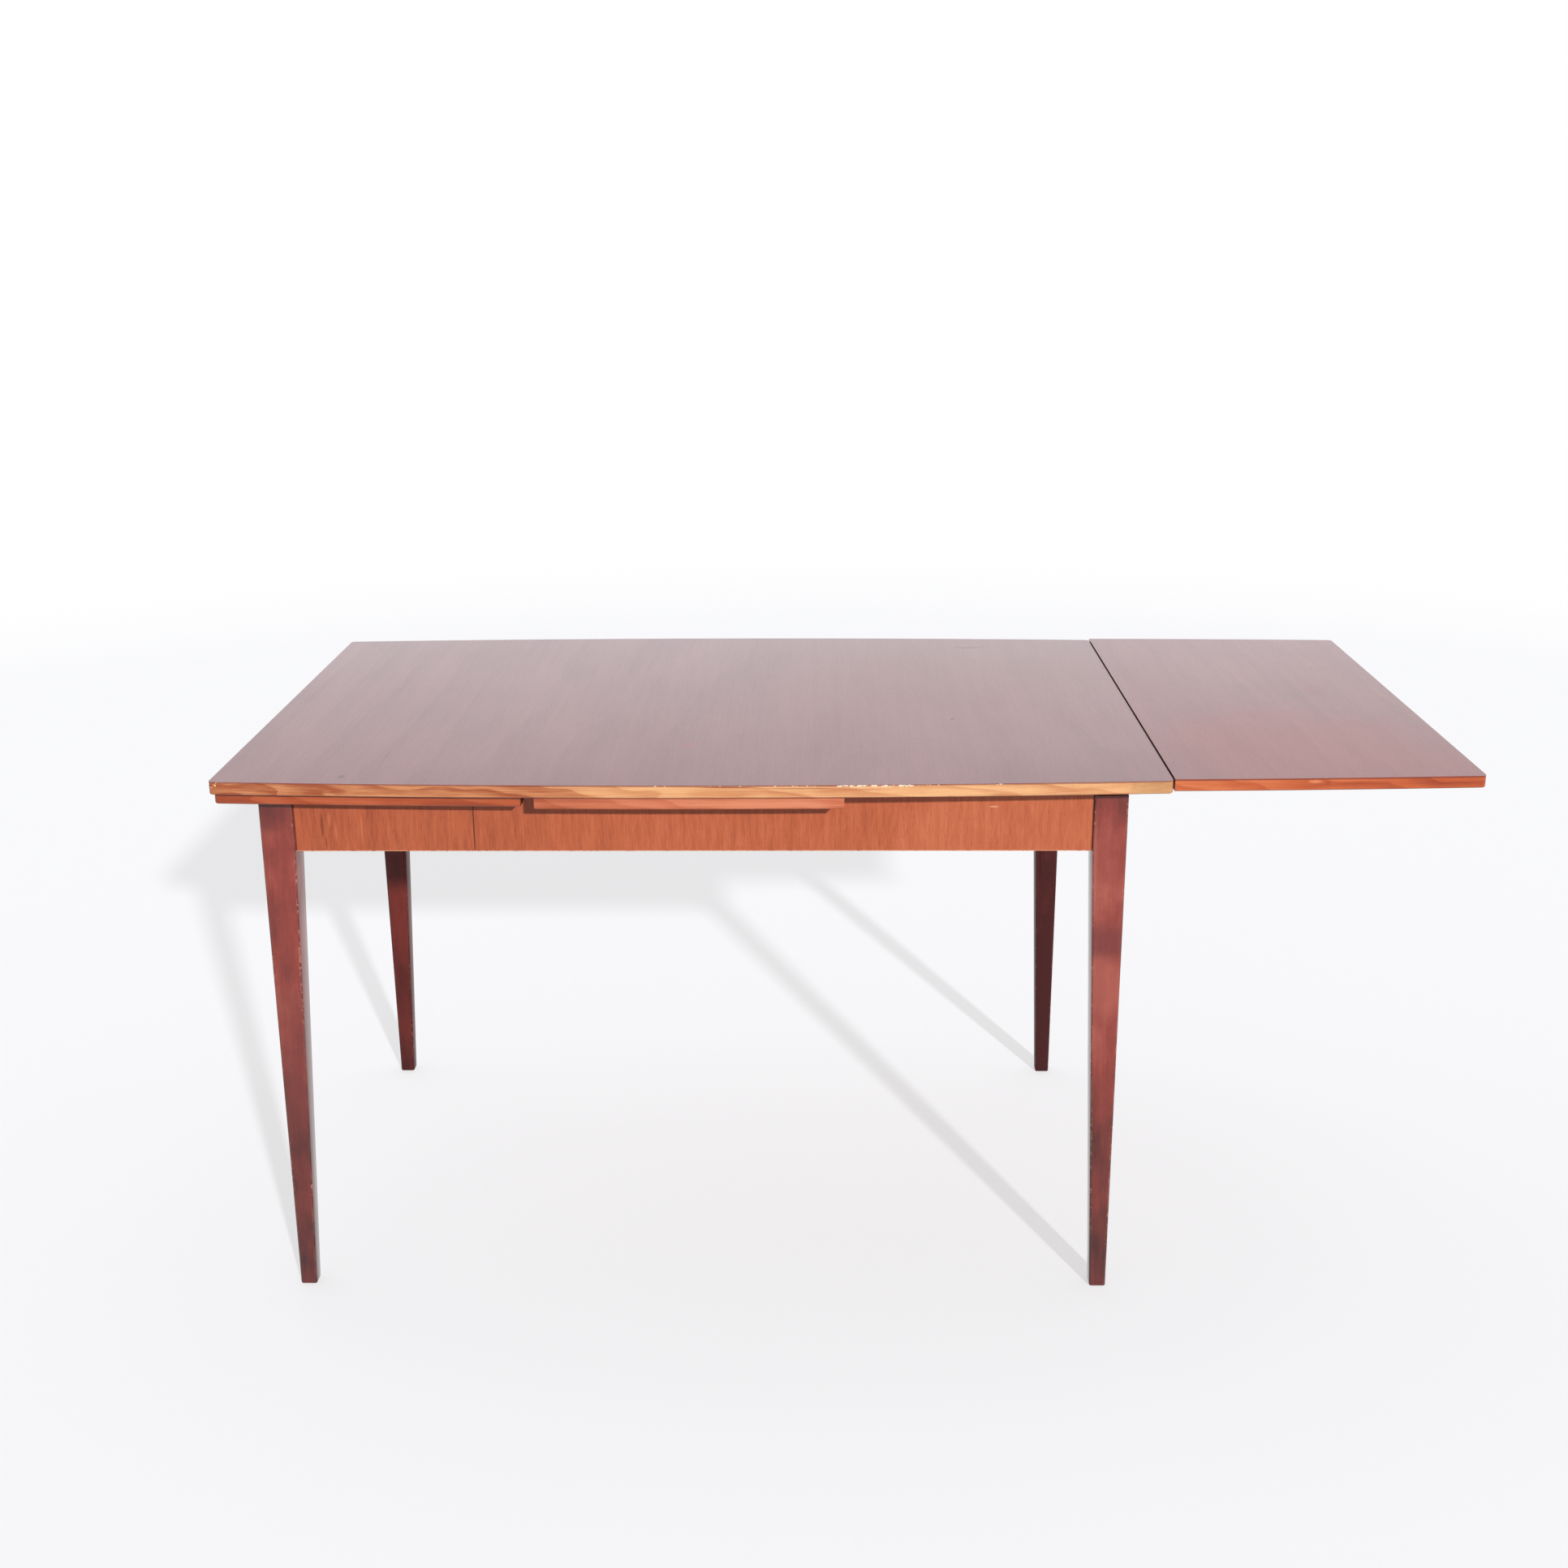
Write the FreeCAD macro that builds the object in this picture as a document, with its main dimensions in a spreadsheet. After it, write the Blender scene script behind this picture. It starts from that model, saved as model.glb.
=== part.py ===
"""Extending dining table with two draw leaves, as a parametric document.

A loose, boat-shaped top rests on a centre board that is fixed across the frame. The two leaves
lie under the top on tapered runners. Drawn out, a leaf climbs its runners until it lies level
with the top. The right leaf is drawn out here and the left one is pushed in.

Axes: X along the table, Y from front to rear, Z up. The origin is on the floor, under the middle
of the table as it stands with its right leaf out. All lengths are in millimetres.
"""

import FreeCAD, Part
import os
import re

import Sketcher
from FreeCAD import Rotation, Vector

# Driving sizes

OVERALL = {
    "table_height": 750,
    "top_length": 1220,
    "top_width": 830,
    "top_bow": 18,
    "top_thick": 17,
    "end_overhang": 47.5,
    "side_overhang": 62.5,
    "corner_radius": 6,
    "lipping_width": 8,
    "veneer_thick": 0.8,
    "lipping_arris": 1.2,
}

FRAME = {
    "leg_top": 44,
    "leg_foot": 22.5,
    "leg_round": 3,
    "apron_height": 76,
    "apron_thick": 20,
    "apron_setback": 4.5,
    "apron_arris": 1,
    "tenon_thick": 10,
    "tenon_length": 20,
    "tenon_shoulder": 10,
    "block_gap": 3,
    "block_thick": 22,
    "block_height": 50,
    "block_drop": 8,
}

CENTRE_BOARD = {
    "board_thick": 17,
    "board_length": 392,
    "board_inset": 8.5,
    "board_lipping": 8,
    "rail_spacing": 200,
    "rail_thick": 20,
    "rail_height": 70,
}

LEAF = {
    "leaf_taper": 14,
    "leaf_bow": 2,
    "leaf_thick": 16,
    "leaf_inset": 1.5,
    "board_gap": 18.5,
    "seam_gap": 1.5,
    "leaf_play": 0.5,
    "leaf_proud": 2,
}

RUNNER = {
    "runner_inset": 114,
    "lane_pitch": 34,
    "runner_thick": 22,
    "runner_rest_depth": 20,
    "tail_lap": 34.5,
    "runner_nose_inset": 60,
    "runner_nose_bevel": 8,
    "lane_clearance": 1,
    "rest_clearance": 0.3,
    "relief_clearance": 0.5,
    "stop_thick": 14,
    "stop_height": 20,
    "stop_drop": 18,
    "stop_clearance": 0.3,
}

FIXINGS = {
    "peg_inset": 135,
    "peg_radius": 11,
    "peg_length": 48,
    "peg_socket": 10,
    "peg_clearance": 0.6,
    "screw_shank_radius": 2,
    "screw_head_radius": 4,
    "screw_head_height": 2.5,
    "screw_grip": 12,
    "screw_bite": 9,
    "counterbore_radius": 5,
    "board_screw_grip": 30,
}

# How far along a leaf its screws stand
SCREW_SHARES = (0.18, 0.66)

# How near two places count as one
TINY = 0.01

# Sizes that follow from the driving ones

DERIVED = {
    "frame_length": "top_length - 2 * end_overhang",
    "frame_width": "top_width - 2 * side_overhang",
    "frame_height": "table_height - top_thick - board_thick",
    "apron_bottom": "frame_height - apron_height",
    "top_half": "top_length / 2",
    "top_end_width": "top_width - 2 * top_bow",
    "edge_radius": "(top_half * top_half + top_bow * top_bow) / (2 * top_bow)",
    "edge_centre": "edge_radius - top_width / 2",
    "core_half": "top_half - lipping_width",
    "core_radius": "edge_radius - lipping_width",
    "top_core_thick": "top_thick - veneer_thick",
    "board_radius": "edge_radius - board_inset",
    "board_core_radius": "board_radius - board_lipping",
    "board_half": "board_length / 2",
    "leaf_length": "top_half - leaf_inset - board_gap - board_half",
    "leaf_inner_width": "top_end_width",
    "leaf_outer_width": "leaf_inner_width - 2 * leaf_taper",
    "leaf_core_thick": "leaf_thick - veneer_thick",
    "leaf_travel": "leaf_inset + leaf_length + seam_gap",
    "leaf_rise": "top_thick + leaf_play + leaf_proud",
    "leaf_slope": "leaf_rise / leaf_travel",
    "leaf_drawn_x": "top_half + seam_gap",
    "leaf_drawn_z": "table_height + leaf_proud - leaf_thick",
    "leaf_stowed_x": "top_half - leaf_inset - leaf_length",
    "leaf_stowed_z": "leaf_drawn_z - leaf_rise",
    "apron_centre": "apron_setback + apron_thick / 2",
    "apron_inner_x": "frame_length / 2 - apron_setback - apron_thick",
    "apron_inner_y": "frame_width / 2 - apron_setback - apron_thick",
    "right_lane": "apron_inner_y - runner_inset",
    "left_lane": "right_lane - lane_pitch",
    "runner_tail": "leaf_drawn_x - board_half + tail_lap",
    "tail_relief": "leaf_proud + top_thick - leaf_thick + relief_clearance",
    "rest_x": "apron_inner_x - leaf_stowed_x",
    "rest_z": "leaf_stowed_z - runner_rest_depth",
    "rail_near_x": "(rail_spacing - rail_thick) / 2",
    "rail_far_x": "(rail_spacing + rail_thick) / 2",
    "board_screw_place": "left_lane / 2",
    "peg_place": "top_width / 2 - peg_inset",
    "peg_hole_radius": "peg_radius + peg_clearance",
    "origin_shift": "(leaf_drawn_x + leaf_length - top_half) / 2",
}

SIDES = {"left": -1, "right": 1}
ENDS = {"front": -1, "rear": 1}

doc = FreeCAD.newDocument("ExtendingTable")
sheet = doc.addObject("Spreadsheet::Sheet", "Sizes")
parts = {}


# Sheet and expressions


def fill_sheet():
    """Write every driving and derived size into the sheet, one row each."""
    row = 0
    for group in (OVERALL, FRAME, CENTRE_BOARD, LEAF, RUNNER, FIXINGS, DERIVED):
        for alias, value in group.items():
            row += 1
            text = f"={value}" if isinstance(value, str) else str(value)
            sheet.set(f"A{row}", alias)
            sheet.set(f"B{row}", text)
            sheet.setAlias(f"B{row}", alias)
    doc.recompute()


def bound(text):
    """Return an expression with each size name pointed at the sheet."""
    names = re.compile(r"[a-z]+(?:_[a-z]+)+")
    return names.sub(lambda found: f"Sizes.{found.group(0)}", str(text))


def value(text):
    """Return what an expression is worth now, as a number."""
    result = sheet.evalExpression(bound(text))
    return float(getattr(result, "Value", result))


def bind(thing, **sizes):
    """Bind properties to expressions. A double underscore stands for a dot."""
    for name, text in sizes.items():
        thing.setExpression(name.replace("__", "."), bound(text))


# Sketches and features


def new_body(name):
    """Start a body for one sub-part."""
    return doc.addObject("PartDesign::Body", f"{name}_body")


def plane_sketch(body, role, name, level="0"):
    """Attach a sketch to one of the body's origin planes, raised along the plane's normal."""
    sketch = body.newObject("Sketcher::SketchObject", name)
    plane = [feature for feature in body.Origin.OriginFeatures if feature.Role == role]
    sketch.AttachmentSupport = [(plane[0], "")]
    sketch.MapMode = "FlatFace"
    bind(sketch, AttachmentOffset__Base__z=level)
    return sketch


def arc_between(start, end, radius):
    """Return the short arc from start to end. A positive radius bulges to the right of the way."""
    way = end - start
    across = Vector(way.y, -way.x, 0).normalize()
    size = abs(radius)
    rise = size - (size * size - way.Length**2 / 4) ** 0.5
    middle = (start + end) / 2 + across * (rise if radius > 0 else -rise)
    return Part.Arc(start, middle, end)


def outline(sketch, corners, radii=None):
    """Draw a closed outline whose corners and arc radii are bound to the sheet.

    corners holds one pair of expressions for each corner. radii gives the radius expression of
    each side that is an arc, by the number of the corner where the side starts.
    """
    radii = radii or {}
    points = [Vector(value(x), value(y), 0) for x, y in corners]
    count = len(points)
    first = sketch.GeometryCount
    ends = []
    for number, start in enumerate(points):
        end = points[(number + 1) % count]
        if number in radii:
            side = arc_between(start, end, value(radii[number]))
        else:
            side = Part.LineSegment(start, end)
        index = sketch.addGeometry(side, False)
        forward = (sketch.getPoint(index, 1) - start).Length < (end - start).Length / 2
        ends.append((1, 2) if forward else (2, 1))
    for number in range(count):
        after = (number + 1) % count
        joint = (first + number, ends[number][1], first + after, ends[after][0])
        sketch.addConstraint(Sketcher.Constraint("Coincident", *joint))
    for number, (x, y) in enumerate(corners):
        place = (-1, 1, first + number, ends[number][0])
        dimension(sketch, "DistanceX", place, points[number].x, x)
        dimension(sketch, "DistanceY", place, points[number].y, y)
    for number, radius in radii.items():
        dimension(sketch, "Radius", (first + number,), abs(value(radius)), f"abs({radius})")


def circle(sketch, x, y, radius):
    """Draw a circle whose centre and radius are bound to the sheet."""
    centre = Vector(value(x), value(y), 0)
    shape = Part.Circle(centre, Vector(0, 0, 1), value(radius))
    index = sketch.addGeometry(shape, False)
    dimension(sketch, "DistanceX", (-1, 1, index, 3), centre.x, x)
    dimension(sketch, "DistanceY", (-1, 1, index, 3), centre.y, y)
    dimension(sketch, "Radius", (index,), value(radius), radius)


def dimension(sketch, kind, place, start, text):
    """Add one dimension to a sketch and bind it."""
    index = sketch.addConstraint(Sketcher.Constraint(kind, *place, float(start)))
    sketch.setExpression(f"Constraints[{index}]", bound(text))


def rectangle(x_low, x_high, y_low, y_high):
    """Return the four corners of a rectangle, anticlockwise."""
    return [(x_low, y_low), (x_high, y_low), (x_high, y_high), (x_low, y_high)]


def pad(body, sketch, length, symmetric=False, backward=False):
    """Extrude a sketch."""
    feature = body.newObject("PartDesign::Pad", f"{sketch.Name}_pad")
    feature.Profile = sketch
    feature.SideType = "Symmetric" if symmetric else "One side"
    feature.Reversed = backward
    bind(feature, Length=length)
    doc.recompute()
    return feature


def pocket(body, sketch, depth=None, symmetric=False, backward=False):
    """Cut along a sketch: to a depth, or through everything. By default it cuts below the plane."""
    feature = body.newObject("PartDesign::Pocket", f"{sketch.Name}_pocket")
    feature.Profile = sketch
    feature.SideType = "Symmetric" if symmetric else "One side"
    feature.Reversed = backward
    if depth:
        bind(feature, Length=depth)
    else:
        feature.Type = "ThroughAll"
    doc.recompute()
    return feature


def bore(body, name, x, y, face, grip, depth):
    """Bore up to a joint face for one screw: a shank hole and a counterbore, from below."""
    half = plane_sketch(body, "XZ_Plane", name, f"-({y})")
    bind(half, AttachmentOffset__Base__x=x, AttachmentOffset__Base__y=face)
    corners = [
        ("0", f"-{depth}"),
        ("counterbore_radius", f"-{depth}"),
        ("counterbore_radius", f"-{grip}"),
        ("screw_shank_radius", f"-{grip}"),
        ("screw_shank_radius", "0"),
        ("0", "0"),
    ]
    outline(half, corners)
    feature = body.newObject("PartDesign::Groove", f"{name}_groove")
    feature.Profile = half
    feature.ReferenceAxis = (half, ["V_Axis"])
    feature.Angle = 360
    doc.recompute()
    return feature


def edges(body, wanted):
    """Name the edges of the body's last feature that a test picks."""
    found = []
    for number, edge in enumerate(body.Tip.Shape.Edges, start=1):
        if wanted(edge):
            found.append(f"Edge{number}")
    return found


def fillet(body, name, radius, wanted):
    """Round the edges that a test picks."""
    base = body.Tip
    names = edges(body, wanted)
    feature = body.newObject("PartDesign::Fillet", name)
    feature.Base = (base, names)
    bind(feature, Radius=radius)
    doc.recompute()
    return feature


def chamfer(body, name, size, wanted):
    """Ease the edges that a test picks."""
    base = body.Tip
    names = edges(body, wanted)
    feature = body.newObject("PartDesign::Chamfer", name)
    feature.Base = (base, names)
    bind(feature, Size=size)
    doc.recompute()
    return feature


def upright_at(x, y):
    """Return a test for upright edges at these plan distances from the middle."""

    def wanted(edge):
        box = edge.BoundBox
        upright = box.XLength < TINY and box.YLength < TINY
        return upright and abs(abs(box.XMin) - x) < TINY and abs(abs(box.YMin) - y) < TINY

    return wanted


def finish(thing, name, turn=0, **place):
    """Label a finished sub-part, put it in its place and keep it for the files.

    Places are told from the middle of the four legs, and the origin lies origin_shift from it.
    """
    thing.Label = name
    thing.Placement.Rotation = Rotation(Vector(0, 0, 1), turn)
    bind(thing, Placement__Base__x=f"{place.get('x', '0')} - origin_shift")
    bind(thing, Placement__Base__y=place.get("y", "0"))
    bind(thing, Placement__Base__z=place.get("z", "0"))
    parts[name] = thing


# Legs


def build_legs():
    """Four alike legs, tapered on their two inner faces below the aprons.

    Each is drawn with its outer corner on the Z axis, then turned.
    """
    places = {
        "leg_front_left": (0, "-frame_length / 2", "-frame_width / 2"),
        "leg_front_right": (90, "frame_length / 2", "-frame_width / 2"),
        "leg_rear_right": (180, "frame_length / 2", "frame_width / 2"),
        "leg_rear_left": (270, "-frame_length / 2", "frame_width / 2"),
    }
    for name, (turn, x, y) in places.items():
        body = new_body(name)
        plan = plane_sketch(body, "XY_Plane", f"{name}_plan")
        outline(plan, rectangle("0", "leg_top", "0", "leg_top"))
        pad(body, plan, "apron_bottom")
        wedge = [("leg_foot", "0"), ("leg_top", "0"), ("leg_top", "apron_bottom")]
        taper_x = plane_sketch(body, "XZ_Plane", f"{name}_taper_x")
        outline(taper_x, wedge)
        pocket(body, taper_x, "leg_top")
        taper_y = plane_sketch(body, "YZ_Plane", f"{name}_taper_y")
        outline(taper_y, wedge)
        pocket(body, taper_y, "leg_top", backward=True)
        fillet(body, f"{name}_round", "leg_round", long_edge)
        knee = upper_face(body.Tip)
        post = body.newObject("PartDesign::Pad", f"{name}_post")
        post.Profile = knee
        bind(post, Length="apron_height")
        doc.recompute()
        mortise_x = plane_sketch(body, "YZ_Plane", f"{name}_mortise_x", "leg_top")
        outline(mortise_x, mortise_outline())
        pocket(body, mortise_x, "tenon_length")
        mortise_y = plane_sketch(body, "XZ_Plane", f"{name}_mortise_y", "-leg_top")
        outline(mortise_y, mortise_outline())
        pocket(body, mortise_y, "tenon_length", backward=True)
        finish(body, name, turn, x=x, y=y)


def long_edge(edge):
    """Tell whether an edge runs along a leg and not across it."""
    return edge.BoundBox.ZLength > value("leg_top")


def upper_face(feature):
    """Name the face on top of a feature, for a pad that carries its outline on upwards."""
    heights = [face.BoundBox.ZMin for face in feature.Shape.Faces]
    return (feature, [f"Face{heights.index(max(heights)) + 1}"])


def mortise_outline():
    """Return the mortise in a leg's inner face: across the face, then up."""
    low = "(apron_centre - tenon_thick / 2)"
    high = "(apron_centre + tenon_thick / 2)"
    bottom = "(apron_bottom + tenon_shoulder)"
    return rectangle(low, high, bottom, "(frame_height - tenon_shoulder)")


# Aprons


def tenon_outline(half):
    """Return the long middle strip of an apron, whose ends are its tenons."""
    reach = f"({half} + tenon_length)"
    return rectangle(f"-{reach}", reach, "tenon_shoulder", "(apron_height - tenon_shoulder)")


def build_long_aprons():
    """Front and rear apron, each a board with a tenon at both ends."""
    half = "(frame_length / 2 - leg_top)"
    for end, sign in ENDS.items():
        name = f"apron_{end}"
        body = new_body(name)
        face = plane_sketch(body, "XZ_Plane", f"{name}_face")
        outline(face, rectangle(f"-{half}", half, "0", "apron_height"))
        pad(body, face, "apron_thick", symmetric=True)
        fillet(body, f"{name}_arris", "apron_arris", low_long_edge)
        tenon = plane_sketch(body, "XZ_Plane", f"{name}_tenon")
        outline(tenon, tenon_outline(half))
        pad(body, tenon, "tenon_thick", symmetric=True)
        finish(body, name, y=f"{sign} * (frame_width / 2 - apron_centre)", z="apron_bottom")


def low_long_edge(edge):
    """Tell whether an edge is one of the two long bottom edges of an apron."""
    box = edge.BoundBox
    return box.ZMax < TINY and box.DiagonalLength > value("leg_top")


def notched_top(height, half, notches):
    """Return a board's outline in a YZ plane, open from above at each notch.

    notches holds (centre, bottom) pairs of expressions from left to right.
    """
    reach = "(runner_thick / 2 + lane_clearance)"
    corners = [(f"-{half}", "0"), (half, "0"), (half, height)]
    for centre, bottom in reversed(notches):
        corners.append((f"({centre} + {reach})", height))
        corners.append((f"({centre} + {reach})", bottom))
        corners.append((f"({centre} - {reach})", bottom))
        corners.append((f"({centre} - {reach})", height))
    corners.append((f"-{half}", height))
    return corners


def build_end_aprons():
    """Left and right apron, each with two notches that carry the runners of its own leaf."""
    half = "(frame_width / 2 - leg_top)"
    bottom = "(rest_z - rest_clearance - apron_bottom)"
    for side, sign in SIDES.items():
        name = f"apron_{side}"
        lane = f"{side}_lane"
        body = new_body(name)
        face = plane_sketch(body, "YZ_Plane", f"{name}_face")
        notches = [(f"-{lane}", bottom), (lane, bottom)]
        outline(face, notched_top("apron_height", half, notches))
        pad(body, face, "apron_thick", symmetric=True)
        tenon = plane_sketch(body, "YZ_Plane", f"{name}_tenon")
        outline(tenon, tenon_strip(half, "1"))
        outline(tenon, tenon_strip(half, "-1"))
        pad(body, tenon, "tenon_thick", symmetric=True)
        finish(body, name, x=f"{sign} * (frame_length / 2 - apron_centre)", z="apron_bottom")


def tenon_strip(half, sign):
    """Return one tenon of an end apron, rooted inside the board beyond its notches."""
    root = f"{sign} * ({half} - tenon_length)"
    tip = f"{sign} * ({half} + tenon_length)"
    return rectangle(root, tip, "tenon_shoulder", "(apron_height - tenon_shoulder)")


# Corner blocks


def build_corner_blocks():
    """Glued blocks across the inner corners, clear of the legs."""
    near = "(leg_top - apron_setback - apron_thick + block_gap * sqrt(2))"
    far = f"({near} + block_thick * sqrt(2))"
    leg_x = "(frame_length / 2 - leg_top)"
    leg_y = "(frame_width / 2 - leg_top)"
    for end, y_sign in ENDS.items():
        for side, x_sign in SIDES.items():
            name = f"corner_block_{end}_{side}"
            body = new_body(name)
            plan = plane_sketch(body, "XY_Plane", f"{name}_plan")
            corners = [
                (f"{x_sign} * ({leg_x} - {far})", f"{y_sign} * apron_inner_y"),
                (f"{x_sign} * ({leg_x} - {near})", f"{y_sign} * apron_inner_y"),
                (f"{x_sign} * apron_inner_x", f"{y_sign} * ({leg_y} - {near})"),
                (f"{x_sign} * apron_inner_x", f"{y_sign} * ({leg_y} - {far})"),
            ]
            outline(plan, corners)
            pad(body, plan, "block_height")
            finish(body, name, z="frame_height - block_drop - block_height")


# Centre board and cross rails


def arc_depth(radius, x):
    """Return how far the bowed edge of this radius lies from the middle line at x."""
    return f"(sqrt({radius} * {radius} - {x} * {x}) - edge_centre)"


def bowed_panel(half, radius):
    """Return a panel with straight ends and bowed long sides, as corners and radii."""
    width = arc_depth(radius, half)
    corners = rectangle(f"-{half}", half, f"-{width}", width)
    return corners, {0: radius, 2: radius}


def bowed_strip(half, outer, inner, sign):
    """Return the strip between two bowed lines on one long side, as corners and radii."""
    out = arc_depth(outer, half)
    back = arc_depth(inner, half)
    corners = [(f"-{half}", f"{sign} * {out}"), (half, f"{sign} * {out}")]
    corners += [(half, f"{sign} * {back}"), (f"-{half}", f"{sign} * {back}")]
    return corners, {0: f"{-sign} * {outer}", 2: f"{sign} * {inner}"}


def build_centre_board():
    """The fixed board that carries the top, with a bored hole for each guide peg."""
    half = "board_half"
    body = new_body("centre_board")
    plan = plane_sketch(body, "XY_Plane", "centre_board_plan")
    outline(plan, *bowed_panel(half, "board_core_radius"))
    pad(body, plan, "board_thick")
    holes = plane_sketch(body, "XY_Plane", "centre_board_holes", "board_thick")
    circle(holes, "0", "-peg_place", "peg_hole_radius")
    circle(holes, "0", "peg_place", "peg_hole_radius")
    pocket(body, holes)
    bites = plane_sketch(body, "XY_Plane", "centre_board_bites")
    for x, y in board_screw_places():
        circle(bites, x, y, "screw_shank_radius")
    pocket(body, bites, "screw_bite", backward=True)
    finish(body, "centre_board", z="frame_height")
    for end, sign in ENDS.items():
        name = f"centre_board_lipping_{end}"
        strip = new_body(name)
        plan = plane_sketch(strip, "XY_Plane", f"{name}_plan")
        outline(plan, *bowed_strip(half, "board_radius", "board_core_radius", sign))
        pad(strip, plan, "board_thick")
        finish(strip, name, z="frame_height")


def board_screw_places():
    """Return where the screws of the centre board stand: two in each cross rail."""
    places = []
    for x_sign in SIDES.values():
        for y_sign in ENDS.values():
            x = f"{x_sign} * rail_spacing / 2"
            places.append((x, f"{y_sign} * board_screw_place"))
    return places


def build_cross_rails():
    """Rails under the centre board. A runner lies lower in the rail that is farther from its leaf."""
    level = "(rest_z - rest_clearance - (frame_height - rail_height))"
    near = f"({level} - leaf_slope * (apron_inner_x - rail_near_x))"
    far = f"({level} - leaf_slope * (apron_inner_x + rail_far_x))"
    others = {"left": "right", "right": "left"}
    for side, sign in SIDES.items():
        name = f"cross_rail_{side}"
        depths = {f"{side}_lane": near, f"{others[side]}_lane": far}
        lanes = ["-right_lane", "-left_lane", "left_lane", "right_lane"]
        notches = [(lane, depths[lane.lstrip("-")]) for lane in lanes]
        body = new_body(name)
        face = plane_sketch(body, "YZ_Plane", f"{name}_face")
        outline(face, notched_top("rail_height", "apron_inner_y", notches))
        pad(body, face, "rail_thick", symmetric=True)
        for end, y_sign in ENDS.items():
            y = f"{y_sign} * board_screw_place"
            hole = f"{name}_hole_{end}"
            bore(body, hole, "0", y, "rail_height", "board_screw_grip", "rail_height")
        finish(body, name, x=f"{sign} * rail_spacing / 2", z="frame_height - rail_height")


# Top


def build_top():
    """Veneered panel with a solid lipping on all four edges and two guide pegs under it."""
    core = new_body("top_core")
    plan = plane_sketch(core, "XY_Plane", "top_core_plan")
    outline(plan, *bowed_panel("core_half", "core_radius"))
    pad(core, plan, "top_core_thick")
    sockets = plane_sketch(core, "XY_Plane", "top_core_sockets")
    circle(sockets, "0", "-peg_place", "peg_radius")
    circle(sockets, "0", "peg_place", "peg_radius")
    pocket(core, sockets, "peg_socket", backward=True)
    level = "table_height - top_thick"
    finish(core, "top_core", z=level)

    sheet_body = new_body("top_veneer")
    plan = plane_sketch(sheet_body, "XY_Plane", "top_veneer_plan")
    outline(plan, *bowed_panel("top_half", "edge_radius"))
    pad(sheet_body, plan, "veneer_thick")
    corner = (value("top_half"), value("top_end_width / 2"))
    fillet(sheet_body, "top_veneer_corners", "corner_radius", upright_at(*corner))
    finish(sheet_body, "top_veneer", z="table_height - veneer_thick")

    for end, sign in ENDS.items():
        name = f"top_lipping_{end}"
        strip = new_body(name)
        plan = plane_sketch(strip, "XY_Plane", f"{name}_plan")
        outline(plan, *bowed_strip("top_half", "edge_radius", "core_radius", sign))
        pad(strip, plan, "top_core_thick")
        fillet(strip, f"{name}_corners", "corner_radius", upright_at(*corner))
        chamfer(strip, f"{name}_arris", "lipping_arris", top_low_side)
        finish(strip, name, z=level)
    for side, sign in SIDES.items():
        name = f"top_lipping_{side}"
        strip = new_body(name)
        plan = plane_sketch(strip, "XY_Plane", f"{name}_plan")
        inner = arc_depth("core_radius", "core_half")
        outer = arc_depth("core_radius", "top_half")
        corners = [(f"{sign} * core_half", f"-{inner}"), (f"{sign} * top_half", f"-{outer}")]
        corners += [(f"{sign} * top_half", outer), (f"{sign} * core_half", inner)]
        bulge = f"{sign} * core_radius"
        outline(plan, corners, {0: bulge, 2: bulge})
        pad(strip, plan, "top_core_thick")
        chamfer(strip, f"{name}_arris", "lipping_arris", low_end_at(value("top_half")))
        finish(strip, name, z=level)
    build_pegs()


def at_level(edge, level):
    """Tell whether a whole edge lies at one height."""
    box = edge.BoundBox
    return abs(box.ZMin - level) < TINY and abs(box.ZMax - level) < TINY


def top_low_side(edge):
    """Tell whether an edge is the bowed outer one on the underside of a long lipping."""
    box = edge.BoundBox
    outer = value("(top_width - lipping_width) / 2")
    far = max(abs(box.YMin), abs(box.YMax)) > outer
    return at_level(edge, 0) and far and box.XLength > value("top_half")


def low_end_at(reach):
    """Return a test for the straight edge on the underside at this distance along X."""

    def wanted(edge):
        box = edge.BoundBox
        return at_level(edge, 0) and box.XLength < TINY and abs(abs(box.XMin) - reach) < TINY

    return wanted


def build_pegs():
    """Turned pegs, glued into the top."""
    for end, sign in ENDS.items():
        name = f"guide_peg_{end}"
        body = new_body(name)
        round_end = plane_sketch(body, "XY_Plane", f"{name}_end", "-peg_length")
        circle(round_end, "0", "0", "peg_radius")
        pad(body, round_end, "peg_length + peg_socket")
        finish(body, name, y=f"{sign} * peg_place", z="table_height - top_thick")


# Leaves

# A leaf is drawn with its inner end on x = 0, its outer end towards +X and its underside on z = 0.


def leaf_width(x):
    """Return half the leaf's width at a distance from its inner end, along the straight taper."""
    drop = "(leaf_inner_width - leaf_outer_width) / 2"
    return f"(leaf_inner_width / 2 - {drop} * {x} / leaf_length)"


def leaf_outline(low, high, inset):
    """Return a leaf's panel from low to high, drawn in by inset at the long sides."""
    near = f"({leaf_width(low)} - {inset})"
    far = f"({leaf_width(high)} - {inset})"
    corners = [(low, f"-{near}"), (high, f"-{far}"), (high, far), (low, near)]
    bulge = side_radius()
    return corners, {0: bulge, 2: bulge}


def side_radius():
    """Return the radius of a leaf's slightly bowed long side."""
    return "(leaf_length * leaf_length / 8 / leaf_bow)"


def place_leaf(thing, name, side):
    """Put a leaf's piece where that leaf is: the right one drawn out, the left one pushed in."""
    if side == "right":
        finish(thing, name, x="leaf_drawn_x", z="leaf_drawn_z")
    else:
        finish(thing, name, turn=180, x="-leaf_stowed_x", z="leaf_stowed_z")


def runner_depth(x):
    """Return the depth of a runner's sloping underside below the leaf, at x from its inner end."""
    return f"(runner_rest_depth + leaf_slope * (rest_x - {x}))"


def screw_places():
    """Return where the runner screws stand along the leaf."""
    return [f"({share} * leaf_length)" for share in SCREW_SHARES]


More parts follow.
